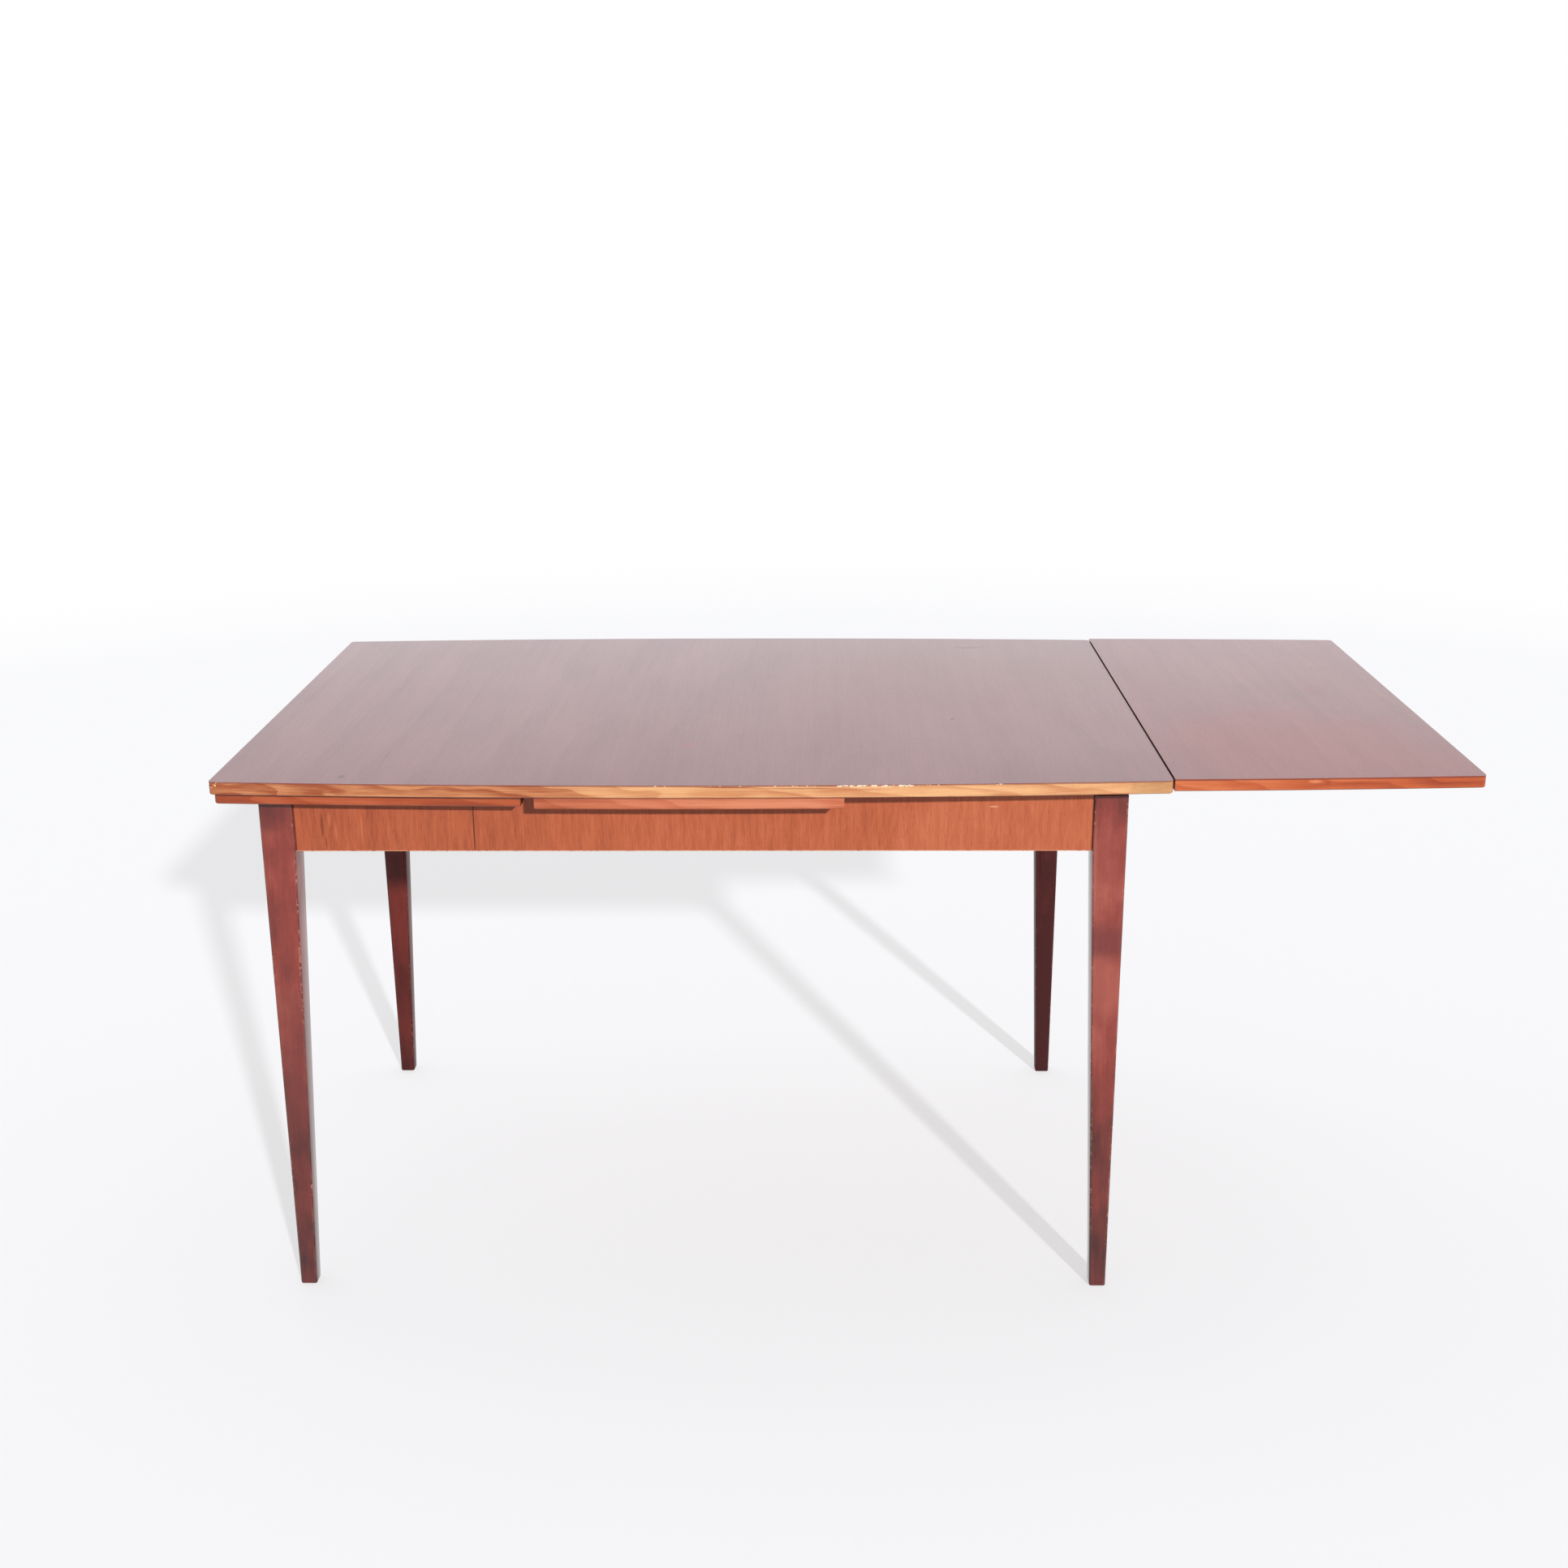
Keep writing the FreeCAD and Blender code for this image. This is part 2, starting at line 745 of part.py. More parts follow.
def build_leaf_panel(side):
    """Core, veneer and four lippings of one leaf."""
    prefix = f"{side}_leaf"
    inner, outer = "lipping_width", "(leaf_length - lipping_width)"
    core = new_body(f"{prefix}_core")
    plan = plane_sketch(core, "XY_Plane", f"{prefix}_core_plan")
    outline(plan, *core_outline(inner, outer))
    pad(core, plan, "leaf_core_thick")
    bites = plane_sketch(core, "XY_Plane", f"{prefix}_core_bites")
    for sign in ENDS.values():
        for x in screw_places():
            circle(bites, x, f"{sign} * {side}_lane", "screw_shank_radius")
    pocket(core, bites, "screw_bite", backward=True)
    place_leaf(core, f"{prefix}_core", side)

    veneer = new_body(f"{prefix}_veneer")
    plan = plane_sketch(veneer, "XY_Plane", f"{prefix}_veneer_plan")
    outline(plan, *leaf_outline("0", "leaf_length", "0"))
    pad(veneer, plan, "veneer_thick")
    corner = (value("leaf_length"), value("leaf_outer_width / 2"))
    fillet(veneer, f"{prefix}_veneer_corners", "corner_radius", upright_at(*corner))
    place_leaf_raised(veneer, f"{prefix}_veneer", side)

    for end, sign in ENDS.items():
        name = f"{prefix}_lipping_{end}"
        strip = new_body(name)
        plan = plane_sketch(strip, "XY_Plane", f"{name}_plan")
        outline(plan, *leaf_strip(sign if side == "right" else -sign))
        pad(strip, plan, "leaf_core_thick")
        fillet(strip, f"{name}_corner", "corner_radius", upright_at(*corner))
        chamfer(strip, f"{name}_arris", "lipping_arris", leaf_low_side)
        place_leaf(strip, name, side)
    for name, low, high in (
        (f"{prefix}_lipping_inner", "0", inner),
        (f"{prefix}_lipping_outer", outer, "leaf_length"),
    ):
        strip = new_body(name)
        plan = plane_sketch(strip, "XY_Plane", f"{name}_plan")
        outline(plan, *core_outline(low, high))
        pad(strip, plan, "leaf_core_thick")
        if high == "leaf_length":
            reach = value("leaf_length")
            chamfer(strip, f"{name}_arris", "lipping_arris", low_end_at(reach))
        place_leaf(strip, name, side)


def place_leaf_raised(thing, name, side):
    """Put a leaf's veneer on top of its core."""
    place_leaf(thing, name, side)
    level = "leaf_drawn_z" if side == "right" else "leaf_stowed_z"
    bind(thing, Placement__Base__z=f"{level} + leaf_core_thick")


def inner_line(x):
    """Return how far the straight line between core and side lipping lies from the middle at x."""
    return f"({leaf_width(x)} - lipping_width)"


def core_outline(low, high):
    """Return the part of the core's plan from low to high. Its long sides are straight."""
    corners = [(low, f"-{inner_line(low)}"), (high, f"-{inner_line(high)}")]
    corners += [(high, inner_line(high)), (low, inner_line(low))]
    return corners, {}


def leaf_strip(sign):
    """Return a side lipping: bowed outside, straight inside."""
    low, high = "0", "leaf_length"
    corners = [
        (low, f"{sign} * {leaf_width(low)}"),
        (high, f"{sign} * {leaf_width(high)}"),
        (high, f"{sign} * {inner_line(high)}"),
        (low, f"{sign} * {inner_line(low)}"),
    ]
    return corners, {0: f"{-sign} * {side_radius()}"}


def leaf_low_side(edge):
    """Tell whether an edge is the bowed underside edge of a side lipping."""
    box = edge.BoundBox
    return at_level(edge, 0) and box.XLength > value("leaf_length / 2") and bowed(edge)


def bowed(edge):
    """Tell whether an edge is an arc."""
    return hasattr(edge.Curve, "Radius")


def build_runners(side):
    """Two tapered runners, their stop blocks and all their screws."""
    prefix = f"{side}_leaf"
    nose = "(leaf_length - runner_nose_inset)"
    for end, sign in ENDS.items():
        name = f"{prefix}_runner_{end}"
        local = sign if side == "right" else -sign
        lane = f"{local} * {side}_lane"
        body = new_body(name)
        side_view = plane_sketch(body, "XZ_Plane", f"{name}_side", f"-({lane})")
        corners = [
            ("-runner_tail", "(-leaf_slope * runner_tail)"),
            ("-runner_tail", f"-{runner_depth('(-runner_tail)')}"),
            (f"({nose} - runner_nose_bevel)", f"-{runner_depth(f'({nose} - runner_nose_bevel)')}"),
            (nose, f"(runner_nose_bevel - {runner_depth(nose)})"),
            (nose, "0"),
            ("0", "0"),
            ("0", "-tail_relief"),
            ("(-tail_relief / leaf_slope)", "-tail_relief"),
        ]
        outline(side_view, corners)
        pad(body, side_view, "runner_thick", symmetric=True)
        for number, x in enumerate(screw_places(), start=1):
            hole = f"{name}_hole_{number}"
            bore(body, hole, x, lane, "0", "screw_grip", f"(2 * {runner_depth(x)})")
        place_leaf(body, name, side)
        build_stop(side, end, local)
    screws = []
    for sign in ENDS.values():
        for x in screw_places():
            screws.append((x, f"{sign} * {side}_lane"))
    place_leaf(screw_set(f"{prefix}_screws", screws, "screw_grip"), f"{prefix}_screws", side)


def build_stop(side, end, local):
    """A block on the runner that meets the cross rail pushed in and the end apron drawn out."""
    name = f"{side}_leaf_stop_{end}"
    outer = "(apron_inner_x - leaf_drawn_x - stop_clearance)"
    inner = "(rail_far_x - leaf_stowed_x + stop_clearance)"
    away = local if side == "right" else -local
    face = f"({local} * {side}_lane + {away} * runner_thick / 2)"
    body = new_body(name)
    plan = plane_sketch(body, "XY_Plane", f"{name}_plan", "-stop_drop")
    outline(plan, rectangle(inner, outer, face, f"({face} + {away} * stop_thick)"))
    pad(body, plan, "stop_height", backward=True)
    place_leaf(body, name, side)


# Screws


def screw_set(name, places, grip):
    """Return all screws of one set. Each place is where a shank crosses the joint face."""
    pieces = []
    for number, (x, y) in enumerate(places, start=1):
        shank = doc.addObject("Part::Cylinder", f"{name}_shank_{number}")
        bind(shank, Radius="screw_shank_radius", Height=f"{grip} + screw_bite")
        bind(shank, Placement__Base__z=f"-{grip}")
        head = doc.addObject("Part::Cylinder", f"{name}_head_{number}")
        bind(head, Radius="screw_head_radius", Height="screw_head_height")
        bind(head, Placement__Base__z=f"-{grip} - screw_head_height")
        for piece in (shank, head):
            bind(piece, Placement__Base__x=x, Placement__Base__y=y)
            pieces.append(piece)
    fused = doc.addObject("Part::MultiFuse", f"{name}_fused")
    fused.Shapes = pieces
    return fused


def build_board_screws():
    """Screws up through the cross rails into the centre board."""
    screws = screw_set("centre_board_screws", board_screw_places(), "board_screw_grip")
    finish(screws, "centre_board_screws", z="frame_height")


# Checks and files


def check_document():
    """Stop if any object failed, or any sub-part has no sound solid."""
    doc.recompute()
    for thing in doc.Objects:
        if "Invalid" in thing.State or "Error" in thing.State:
            raise RuntimeError(f"{thing.Label} failed: {thing.State}")
    for name, thing in parts.items():
        shape = thing.Shape
        if shape.isNull() or not shape.isValid() or not shape.Solids:
            raise RuntimeError(f"{name} has no sound solid")


def write_files():
    """Write each sub-part to its own file."""
    os.makedirs("parts", exist_ok=True)
    for name, thing in parts.items():
        thing.Shape.exportStep(os.path.join("parts", f"{name}.step"))
        solids = len(thing.Shape.Solids)
        print(f"{name}: {solids} solid(s), {thing.Shape.Volume / 1000:.1f} cm3")


fill_sheet()
build_legs()
build_long_aprons()
build_end_aprons()
build_corner_blocks()
build_cross_rails()
build_centre_board()
build_board_screws()
build_top()
for leaf_side in SIDES:
    build_leaf_panel(leaf_side)
    build_runners(leaf_side)
check_document()
write_files()
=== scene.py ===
"""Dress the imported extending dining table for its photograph.

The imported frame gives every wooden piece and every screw. This script paints them: varnished
cross-grain veneer on the top and leaves, honey-coloured lippings, aprons with upright grain, dark
stained legs and plain timber underneath. It sets the floor, the light and the camera.
"""

import logging
import math
from dataclasses import dataclass, replace
from enum import Enum
from functools import cache, reduce
from typing import Any, Mapping, Optional, Sequence, Union

import bmesh
import bpy
from mathutils import Matrix, Vector


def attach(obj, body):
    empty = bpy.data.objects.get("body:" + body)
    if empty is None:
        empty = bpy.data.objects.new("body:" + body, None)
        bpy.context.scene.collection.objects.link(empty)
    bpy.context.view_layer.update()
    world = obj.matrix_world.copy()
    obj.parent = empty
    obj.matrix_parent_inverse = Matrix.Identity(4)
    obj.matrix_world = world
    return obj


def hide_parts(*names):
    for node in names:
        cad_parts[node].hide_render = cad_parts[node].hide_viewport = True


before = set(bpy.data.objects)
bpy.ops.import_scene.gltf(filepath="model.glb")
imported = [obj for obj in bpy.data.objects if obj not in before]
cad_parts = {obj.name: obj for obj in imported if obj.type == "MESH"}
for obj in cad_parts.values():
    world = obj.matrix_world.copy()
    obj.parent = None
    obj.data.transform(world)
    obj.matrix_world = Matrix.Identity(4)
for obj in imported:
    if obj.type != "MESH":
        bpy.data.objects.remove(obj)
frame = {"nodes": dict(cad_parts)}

log = logging.getLogger("extending_table")

Look = tuple[int, int, int]
Colour = tuple[float, float, float]
Point = tuple[float, float, float]
Pair = tuple[float, float]
Body = bmesh.types.BMesh
Node = bpy.types.Node
Socket = bpy.types.NodeSocket
WHITE: Colour = (1.0, 1.0, 1.0)

# Which way from the middle of the table the pieces of a side or an end lie
SIDES = {"left": -1, "right": 1}
ENDS = {"front": -1, "rear": 1}


class Grain(Enum):
    """The axes along a piece's grain, across it and through the piece."""

    ALONG_TABLE = (0, 2, 1)
    ACROSS_TABLE = (1, 0, 2)
    UPRIGHT = (2, 0, 1)


@dataclass(frozen=True)
class LegSizes:
    """Sizes of the legs, which their stain follows.

    The outer faces are measured from the middle between the legs. The taper runs from the knee
    down to the foot, and each arris is rounded in a few steps.
    """

    middle_x: float = -0.19775
    outer: Pair = (0.5625, 0.3525)
    width: float = 0.044
    foot_width: float = 0.0225
    knee: float = 0.640
    top: float = 0.716
    long_arris: float = 0.003
    long_steps: int = 4
    foot_arris: float = 0.0022
    foot_steps: int = 3


def linear(look: Look) -> Colour:
    """Turn a look into the linear values that a shader takes.

    Args:
        look: Red, green and blue as they look, 0 to 255 on the sRGB curve.

    Returns:
        The linear colour.
    """
    shares = [value / 255 for value in look]
    return tuple(
        share / 12.92 if share <= 0.04045 else ((share + 0.055) / 1.055) ** 2.4 for share in shares
    )


# Shader expressions


class Signal:
    """A number that varies over a surface, and takes part in Python expressions."""

    def __init__(self, shader: "Nodes", socket: Socket) -> None:
        """Wrap one output socket.

        Args:
            shader: The nodes that the socket belongs to.
            socket: The output socket.
        """
        self.shader = shader
        self.socket = socket

    def _math(self, operation: str, *values: Any) -> "Signal":
        """Return the result of one Math node, whose inputs are numbers or Signals."""
        node = self.shader.node("ShaderNodeMath", {"operation": operation}, dict(enumerate(values)))
        return Signal(self.shader, node.outputs[0])

    def __add__(self, other: Any) -> "Signal":
        """Add."""
        return self._math("ADD", self, other)

    def __radd__(self, other: Any) -> "Signal":
        """Add, reflected."""
        return self._math("ADD", other, self)

    def __sub__(self, other: Any) -> "Signal":
        """Subtract."""
        return self._math("SUBTRACT", self, other)

    def __rsub__(self, other: Any) -> "Signal":
        """Subtract, reflected."""
        return self._math("SUBTRACT", other, self)

    def __mul__(self, other: Any) -> "Signal":
        """Multiply."""
        return self._math("MULTIPLY", self, other)

    def __rmul__(self, other: Any) -> "Signal":
        """Multiply, reflected."""
        return self._math("MULTIPLY", other, self)

    def __truediv__(self, other: Any) -> "Signal":
        """Divide."""
        return self._math("DIVIDE", self, other)

    def __rtruediv__(self, other: Any) -> "Signal":
        """Divide, reflected."""
        return self._math("DIVIDE", other, self)

    def __abs__(self) -> "Signal":
        """Return the size without its sign."""
        return self._math("ABSOLUTE", self)

    def least(self, other: Any) -> "Signal":
        """Return the smaller of two values."""
        return self._math("MINIMUM", self, other)

    def most(self, other: Any) -> "Signal":
        """Return the larger of two values."""
        return self._math("MAXIMUM", self, other)

    def fraction(self) -> "Signal":
        """Return what is left above the whole number."""
        return self._math("FRACT", self)

    def root(self) -> "Signal":
        """Return the square root."""
        return self._math("SQRT", self)

    def rise(self, low: float, high: float) -> "Signal":
        """Turn the value into a smooth step.

        Args:
            low: Where the step starts.
            high: Where it is done.

        Returns:
            0 below low, 1 above high, and a smooth way between them.
        """
        node = self.shader.node(
            "ShaderNodeMapRange",
            {"interpolation_type": "SMOOTHSTEP"},
            {"Value": self, "From Min": low, "From Max": high},
        )
        return Signal(self.shader, node.outputs["Result"])


Place = tuple[Signal, Signal, Signal]


class Nodes:
    """A tree of shader nodes with one output."""

    def __init__(self, tree: bpy.types.NodeTree, output: str) -> None:
        """Empty a tree and give it its output.

        Args:
            tree: The tree of a material or of the surroundings.
            output: The type name of the output node.
        """
        self.tree = tree
        self.tree.nodes.clear()
        self.output = self.node(output)

    def node(
        self,
        kind: str,
        settings: Optional[Mapping[str, Any]] = None,
        inputs: Optional[Mapping[Union[str, int], Any]] = None,
    ) -> Node:
        """Add one node.

        Args:
            kind: The node's type name.
            settings: Its own properties, set first. The stops of a ramp are pairs of place
                and colour under the name stops.
            inputs: A number, colour, Signal or socket for each input, by name or number.

        Returns:
            The new node.
        """
        node = self.tree.nodes.new(kind)
        for name, setting in (settings or {}).items():
            if name == "stops":
                self._set_stops(node, setting)
            else:
                setattr(node, name, setting)
        for name, given in (inputs or {}).items():
            self.feed(node.inputs[name], given)
        return node

    def feed(self, entry: Socket, given: Any) -> None:
        """Link an input, or set its own value.

        Args:
            entry: The input.
            given: A Signal, socket, number or colour.
        """
        if isinstance(given, Signal):
            given = given.socket
        if isinstance(given, Socket):
            self.tree.links.new(given, entry)
        elif entry.type == "RGBA":
            entry.default_value = (*given, 1.0)
        else:
            entry.default_value = given

    @staticmethod
    def _set_stops(node: Node, stops: Sequence[tuple[float, Colour]]) -> None:
        """Give a colour ramp its stops.

        Args:
            node: The ramp.
            stops: Pairs of place and colour.
        """
        elements = node.color_ramp.elements
        while len(elements) < len(stops):
            elements.new(1.0)
        for element, (place, colour) in zip(elements, stops):
            element.position = place
            element.color = (*colour, 1.0)

    def ramp(self, factor: Signal, *stops: tuple[float, Colour]) -> Socket:
        """Return the colour at a factor of a ramp, with stops of place and colour."""
        node = self.node("ShaderNodeValToRGB", {"stops": stops}, {"Fac": factor})
        return node.outputs["Color"]

    def blend(self, factor: Any, first: Any, second: Any) -> Socket:
        """Return two mixed colours, where the factor says how much of the second one shows."""
        inputs = {"Factor": factor, 6: first, 7: second}
        return self.node("ShaderNodeMix", {"data_type": "RGBA"}, inputs).outputs[2]

    def mix(self, factor: Signal, first: Node, second: Node) -> Node:
        """Return two mixed shaders, where the factor says how much of the second one shows."""
        parts = {0: factor, 1: first.outputs[0], 2: second.outputs[0]}
        return self.node("ShaderNodeMixShader", None, parts)

    def show(self, shader: Node) -> None:
        """Link a shader to the output."""
        self.feed(self.output.inputs["Surface"], shader.outputs[0])

    def ray(self, *kinds: str) -> Signal:
        """Return 1 for rays of some kinds, as the Light Path node names them, and 0 for others."""
        path = self.node("ShaderNodeLightPath").outputs
        return reduce(Signal.most, (Signal(self, path[kind]) for kind in kinds))

    def place(self, kind: str = "Object") -> Place:
        """Read coordinates.

        Args:
            kind: Object for metres on a piece, Generated for the direction in the surroundings.

        Returns:
            The three coordinates.
        """
        coordinates = self.node("ShaderNodeTexCoord").outputs[kind]
        parts = self.node("ShaderNodeSeparateXYZ", None, {0: coordinates}).outputs
        return tuple(Signal(self, part) for part in parts)

    def noise(
        self, place: Sequence[Any], scale: Sequence[float], detail: float = 2.0, rough: float = 0.5
    ) -> Signal:
        """Return smooth noise, 0 to 1, with its own scale along each axis.

        Args:
            place: The three coordinates.
            scale: How many lumps a metre holds along each of them.
            detail: How many finer octaves are added.
            rough: How strong the finer octaves are.

        Returns:
            The noise at the point.
        """
        scaled = [part * times for part, times in zip(place, scale)]
        vector = self.node("ShaderNodeCombineXYZ", None, dict(enumerate(scaled))).outputs[0]
        node = self.node(
            "ShaderNodeTexNoise",
            None,
            {"Vector": vector, "Scale": 1.0, "Detail": detail, "Roughness": rough},
        )
        return Signal(self, node.outputs["Fac"])


class Surround(Nodes):
    """The nodes of the light that comes from all round."""

    def __init__(self, name: str) -> None:
        """Start empty surroundings.

        Args:
            name: Their name.
        """
        self.world = bpy.data.worlds.new(name)
        self.world.use_nodes = True
        super().__init__(self.world.node_tree, "ShaderNodeOutputWorld")

    def background(self, colour: Colour, strength: float) -> Node:
        """Return one even background."""
        return self.node("ShaderNodeBackground", None, {"Color": colour, "Strength": strength})

    def fade(self, factor: Signal, colour: Colour, strengths: Pair) -> Node:
        """Return a background that goes from one strength to another."""
        return self.mix(factor, *(self.background(colour, strength) for strength in strengths))


class Shader(Nodes):
    """The nodes of one material, with the object coordinates as here."""

    def __init__(self, name: str) -> None:
        """Start an empty material.

        Args:
            name: The material's name.
        """
        self.material = bpy.data.materials.new(name)
        self.material.use_nodes = True
        super().__init__(self.material.node_tree, "ShaderNodeOutputMaterial")
        self.here = self.place()

    def inside(self, low: Point, high: Point, soft: float) -> Signal:
        """Tell where the surface lies in a box.

        Args:
            low: The box's lowest corner.
            high: Its highest corner.
            soft: How far its sides fade in and out.

        Returns:
            1 inside the box and 0 outside.
        """
        return math.prod(
            part.rise(start - soft, start + soft) * (1 - part.rise(end - soft, end + soft))
            for part, start, end in zip(self.here, low, high)
        )

    def finish(self, surface: Mapping[str, Any], relief: Signal, depth: float) -> None:
        """Add the surface shader with its relief and link it to the output.

        Args:
            surface: Values or links for the inputs of the surface shader.
            relief: Height of the fine relief, 0 to 1.
            depth: How deep the relief is, in metres.
        """
        height = {"Strength": 1.0, "Distance": depth, "Height": relief}
        bump = self.node("ShaderNodeBump", None, height)
        normal = bump.outputs["Normal"]
        self.show(self.node("ShaderNodeBsdfPrincipled", None, {**surface, "Normal": normal}))


# Finishes


@dataclass(frozen=True)
class Mark:
    """A stain, scratch, knot, open joint or patch of painted shade at one place of the surface."""

    middle: Point
    reach: Point
    look: Look
    strength: float = 0.8
    wobble: float = 0.6
    lumps: float = 2.2
    drawn_out: float = 0.5
    solid: float = 0.35

    def mask(self, shader: Shader) -> Signal:
        """Return the strength inside the mark, falling to 0 at its edge.

        Args:
            shader: The material under construction.

        Returns:
            How much of the mark's colour shows.
        """
        spans = zip(shader.here, self.middle, self.reach)
        offsets = [(part - at) / far for part, at, far in spans]
        squares = offsets[0] * offsets[0] + offsets[1] * offsets[1] + offsets[2] * offsets[2]
        fine = self.lumps / min(self.reach)
        ragged = shader.noise(shader.here, (fine, fine, fine * self.drawn_out)) - 0.5
        distance = squares.root() + ragged * self.wobble
        return (1 - distance.rise(self.solid, 1.0)) * self.strength


@dataclass(frozen=True)
class Chips:
    """Small specks of lost varnish inside a box; along the apron's lower arris they also paint a
    highlight.
    """

    low: Point
    high: Point
    look: Look = (246, 228, 204)
    amount: float = 0.5
    length: float = 0.006
    width: float = 0.0022
    soft: float = 0.0002
    rarest: float = 0.66
    more: float = 0.28
    fade: float = 0.04
    fineness: float = 0.6

    def mask(self, shader: Shader) -> Signal:
        """Return 1 on a speck and 0 elsewhere.

        Args:
            shader: The material under construction.

        Returns:
            Where the bare wood shows.
        """
        lumps = (1 / self.length, 1 / self.width, 1 / self.width)
        specks = shader.noise(shader.here, lumps, rough=self.fineness)
        edge = self.rarest - self.more * self.amount
        bare = specks.rise(edge, edge + self.fade)
        return bare * shader.inside(self.low, self.high, self.soft)


@dataclass(frozen=True)
class Seam:
    """A dark line along an arris or in a joint, inside a box. Most are gathered stain; under the
    top's lipping it is painted shadow, and beside the legs it is the joint and painted shadow
    together.
    """

    low: Point
    high: Point
    look: Look
    strength: float = 0.6
    soft: float = 0.0004
    lumps: Point = (60, 60, 60)
    swing: float = 0.8
    rest: float = 0.6

    def mask(self, shader: Shader) -> Signal:
        """Return the strength inside the box, uneven along it."""
        full = (shader.noise(shader.here, self.lumps) * self.swing + self.rest).least(1.0)
        return full * self.strength * shader.inside(self.low, self.high, self.soft)


Flaw = Union[Mark, Chips, Seam]

# How many octaves the noise of a layer has and how far it is stretched, how dark a pore is against
# the dark tone, how much rougher dark wood and worn spots are than the face, and how the relief is
# shared out
MANY_OCTAVES = 3.0
ONE_OCTAVE = 1.0
LAYER_GAIN = 4
PORE_SHADE = 0.5
DULLER_IN_DARK_WOOD = 0.1
DULLER_WHERE_WORN = 0.15
FACE_LEVEL = 0.7
PORE_DEPTH = 0.6
LATE_WOOD_DEPTH = 0.25


@dataclass(frozen=True)
class Wood:
    """One kind of timber or veneer with its stain and varnish.

    Lengths are in metres and come in pairs, along the grain and across it. Its three tones are
    pale, middle and dark, and strengths say how far a layer moves the tone from one to the next.
    The tone begins with start at the left end of the table, and each of fades adds its last
    number between two places along the table.
    """

    name: str
    grain: Grain
    tones: tuple[Look, Look, Look]
    drift: float = 0.12
    drift_size: Pair = (0.5, 0.07)
    streaks: float = 0.16
    streak_size: Pair = (0.3, 0.008)
    lines: float = 0.16
    line_size: Pair = (0.12, 0.0013)
    fineness: float = 0.55
    rings: float = 0.1
    ring_width: float = 0.006
    ring_waver: float = 0.006
    waver_size: Pair = (0.4, 0.09)
    log_depth: float = 0.031
    log_skew: float = 0.012
    log_slant: float = 0.6
    log_bend: float = 0.7
    log_roundness: float = 0.18
    late_wood: Pair = (0.30, 0.90)
    ring_end: Pair = (0.92, 1.0)
    pores: float = 0.25
    pore_size: Pair = (0.010, 0.0006)
    pore_rim: Pair = (0.10, 0.22)
    roughness: float = 0.42
    specular: float = 0.2
    coat: float = 0.4
    coat_roughness: float = 0.2
    relief: float = 0.00006
    start: float = 0.0
    fades: tuple[tuple[float, float, float], ...] = ()
    flaws: tuple[Flaw, ...] = ()

    def axes(self, shader: Shader) -> Place:
        """Return the coordinates along the grain, across it and through the piece."""
        return tuple(shader.here[axis] for axis in self.grain.value)

    def layer(self, shader: Shader, size: Pair, detail: float = 2.0) -> Signal:
        """Return noise about 0, in lumps of a length and width that lie along the grain."""
        scale = (1 / size[0], 1 / size[1], 1 / size[1])
        return shader.noise(self.axes(shader), scale, detail, self.fineness) - 0.5

    def growth(self, shader: Shader) -> Signal:
        """Return the growth rings, -0.5 to 0.5, as a saw cut through a slightly askew log shows.

        Args:
            shader: The material under construction.

        Returns:
            The dark late wood of each ring against the pale early wood.
        """
        along, across, through = self.axes(shader)
        bend = self.layer(shader, self.waver_size) * (2 * self.ring_waver)
        depth = through * self.log_slant + along * self.log_skew + bend + self.log_depth
        span = across + bend * self.log_bend
        radius = (depth * depth + span * span * self.log_roundness).root()
        ring = (radius / self.ring_width).fraction()
        return ring.rise(*self.late_wood) * (1 - ring.rise(*self.ring_end)) - 0.5

    def tone(self, shader: Shader) -> Signal:
        """Return the tone of the wood, 0 pale to 1 dark.

        Args:
            shader: The material under construction.

        Returns:
            The tone at the point.
        """
        drift = self.layer(shader, self.drift_size, MANY_OCTAVES) * (LAYER_GAIN * self.drift)
        streaks = self.layer(shader, self.streak_size) * (LAYER_GAIN * self.streaks)
        lines = self.layer(shader, self.line_size, MANY_OCTAVES) * (LAYER_GAIN * self.lines)
        rings = self.growth(shader) * self.rings
        tone = 0.5 + drift + streaks + lines + rings + self.start
        for low, high, amount in self.fades:
            tone = tone + shader.here[0].rise(low, high) * amount
        return tone

    def open_pores(self, shader: Shader) -> Signal:
        """Return 1 in a pore and 0 between pores, as short fine dashes along the grain."""
        return self.layer(shader, self.pore_size, ONE_OCTAVE).rise(*self.pore_rim)

    def wear(self, shader: Shader) -> Optional[tuple[Signal, Look]]:
        """Return where handling has worn the stain, with the look there, or None."""
        return None

    def varnish(self, shader: Shader) -> Union[Signal, float]:
        """Return how much varnish is left."""
        return self.coat

    def build(self) -> bpy.types.Material:
        """Build the material.

        Returns:
            The finished material.
        """
        shader = Shader(self.name)
        tone = self.tone(shader)
        pore = self.open_pores(shader)
        colours = [linear(look) for look in self.tones]
        colour = shader.ramp(tone, *zip((0.0, 0.5, 1.0), colours))
        deep = tuple(PORE_SHADE * part for part in colours[2])
        colour = shader.blend(pore * self.pores, colour, deep)
        gloss = self.roughness + (tone - 0.5 + pore) * DULLER_IN_DARK_WOOD
        layers = [self.wear(shader), *((flaw.mask(shader), flaw.look) for flaw in self.flaws)]
        for mask, look in filter(None, layers):
            colour = shader.blend(mask, colour, linear(look))
            gloss = gloss + mask * DULLER_WHERE_WORN
        surface = {
            "Base Color": colour,
            "Roughness": gloss,
            "Coat Weight": self.varnish(shader),
            "Coat Roughness": self.coat_roughness,
            "Specular IOR Level": self.specular,
        }
        height = FACE_LEVEL - pore * PORE_DEPTH - (tone - 0.5) * LATE_WOOD_DEPTH
        shader.finish(surface, height, self.relief)
        return shader.material


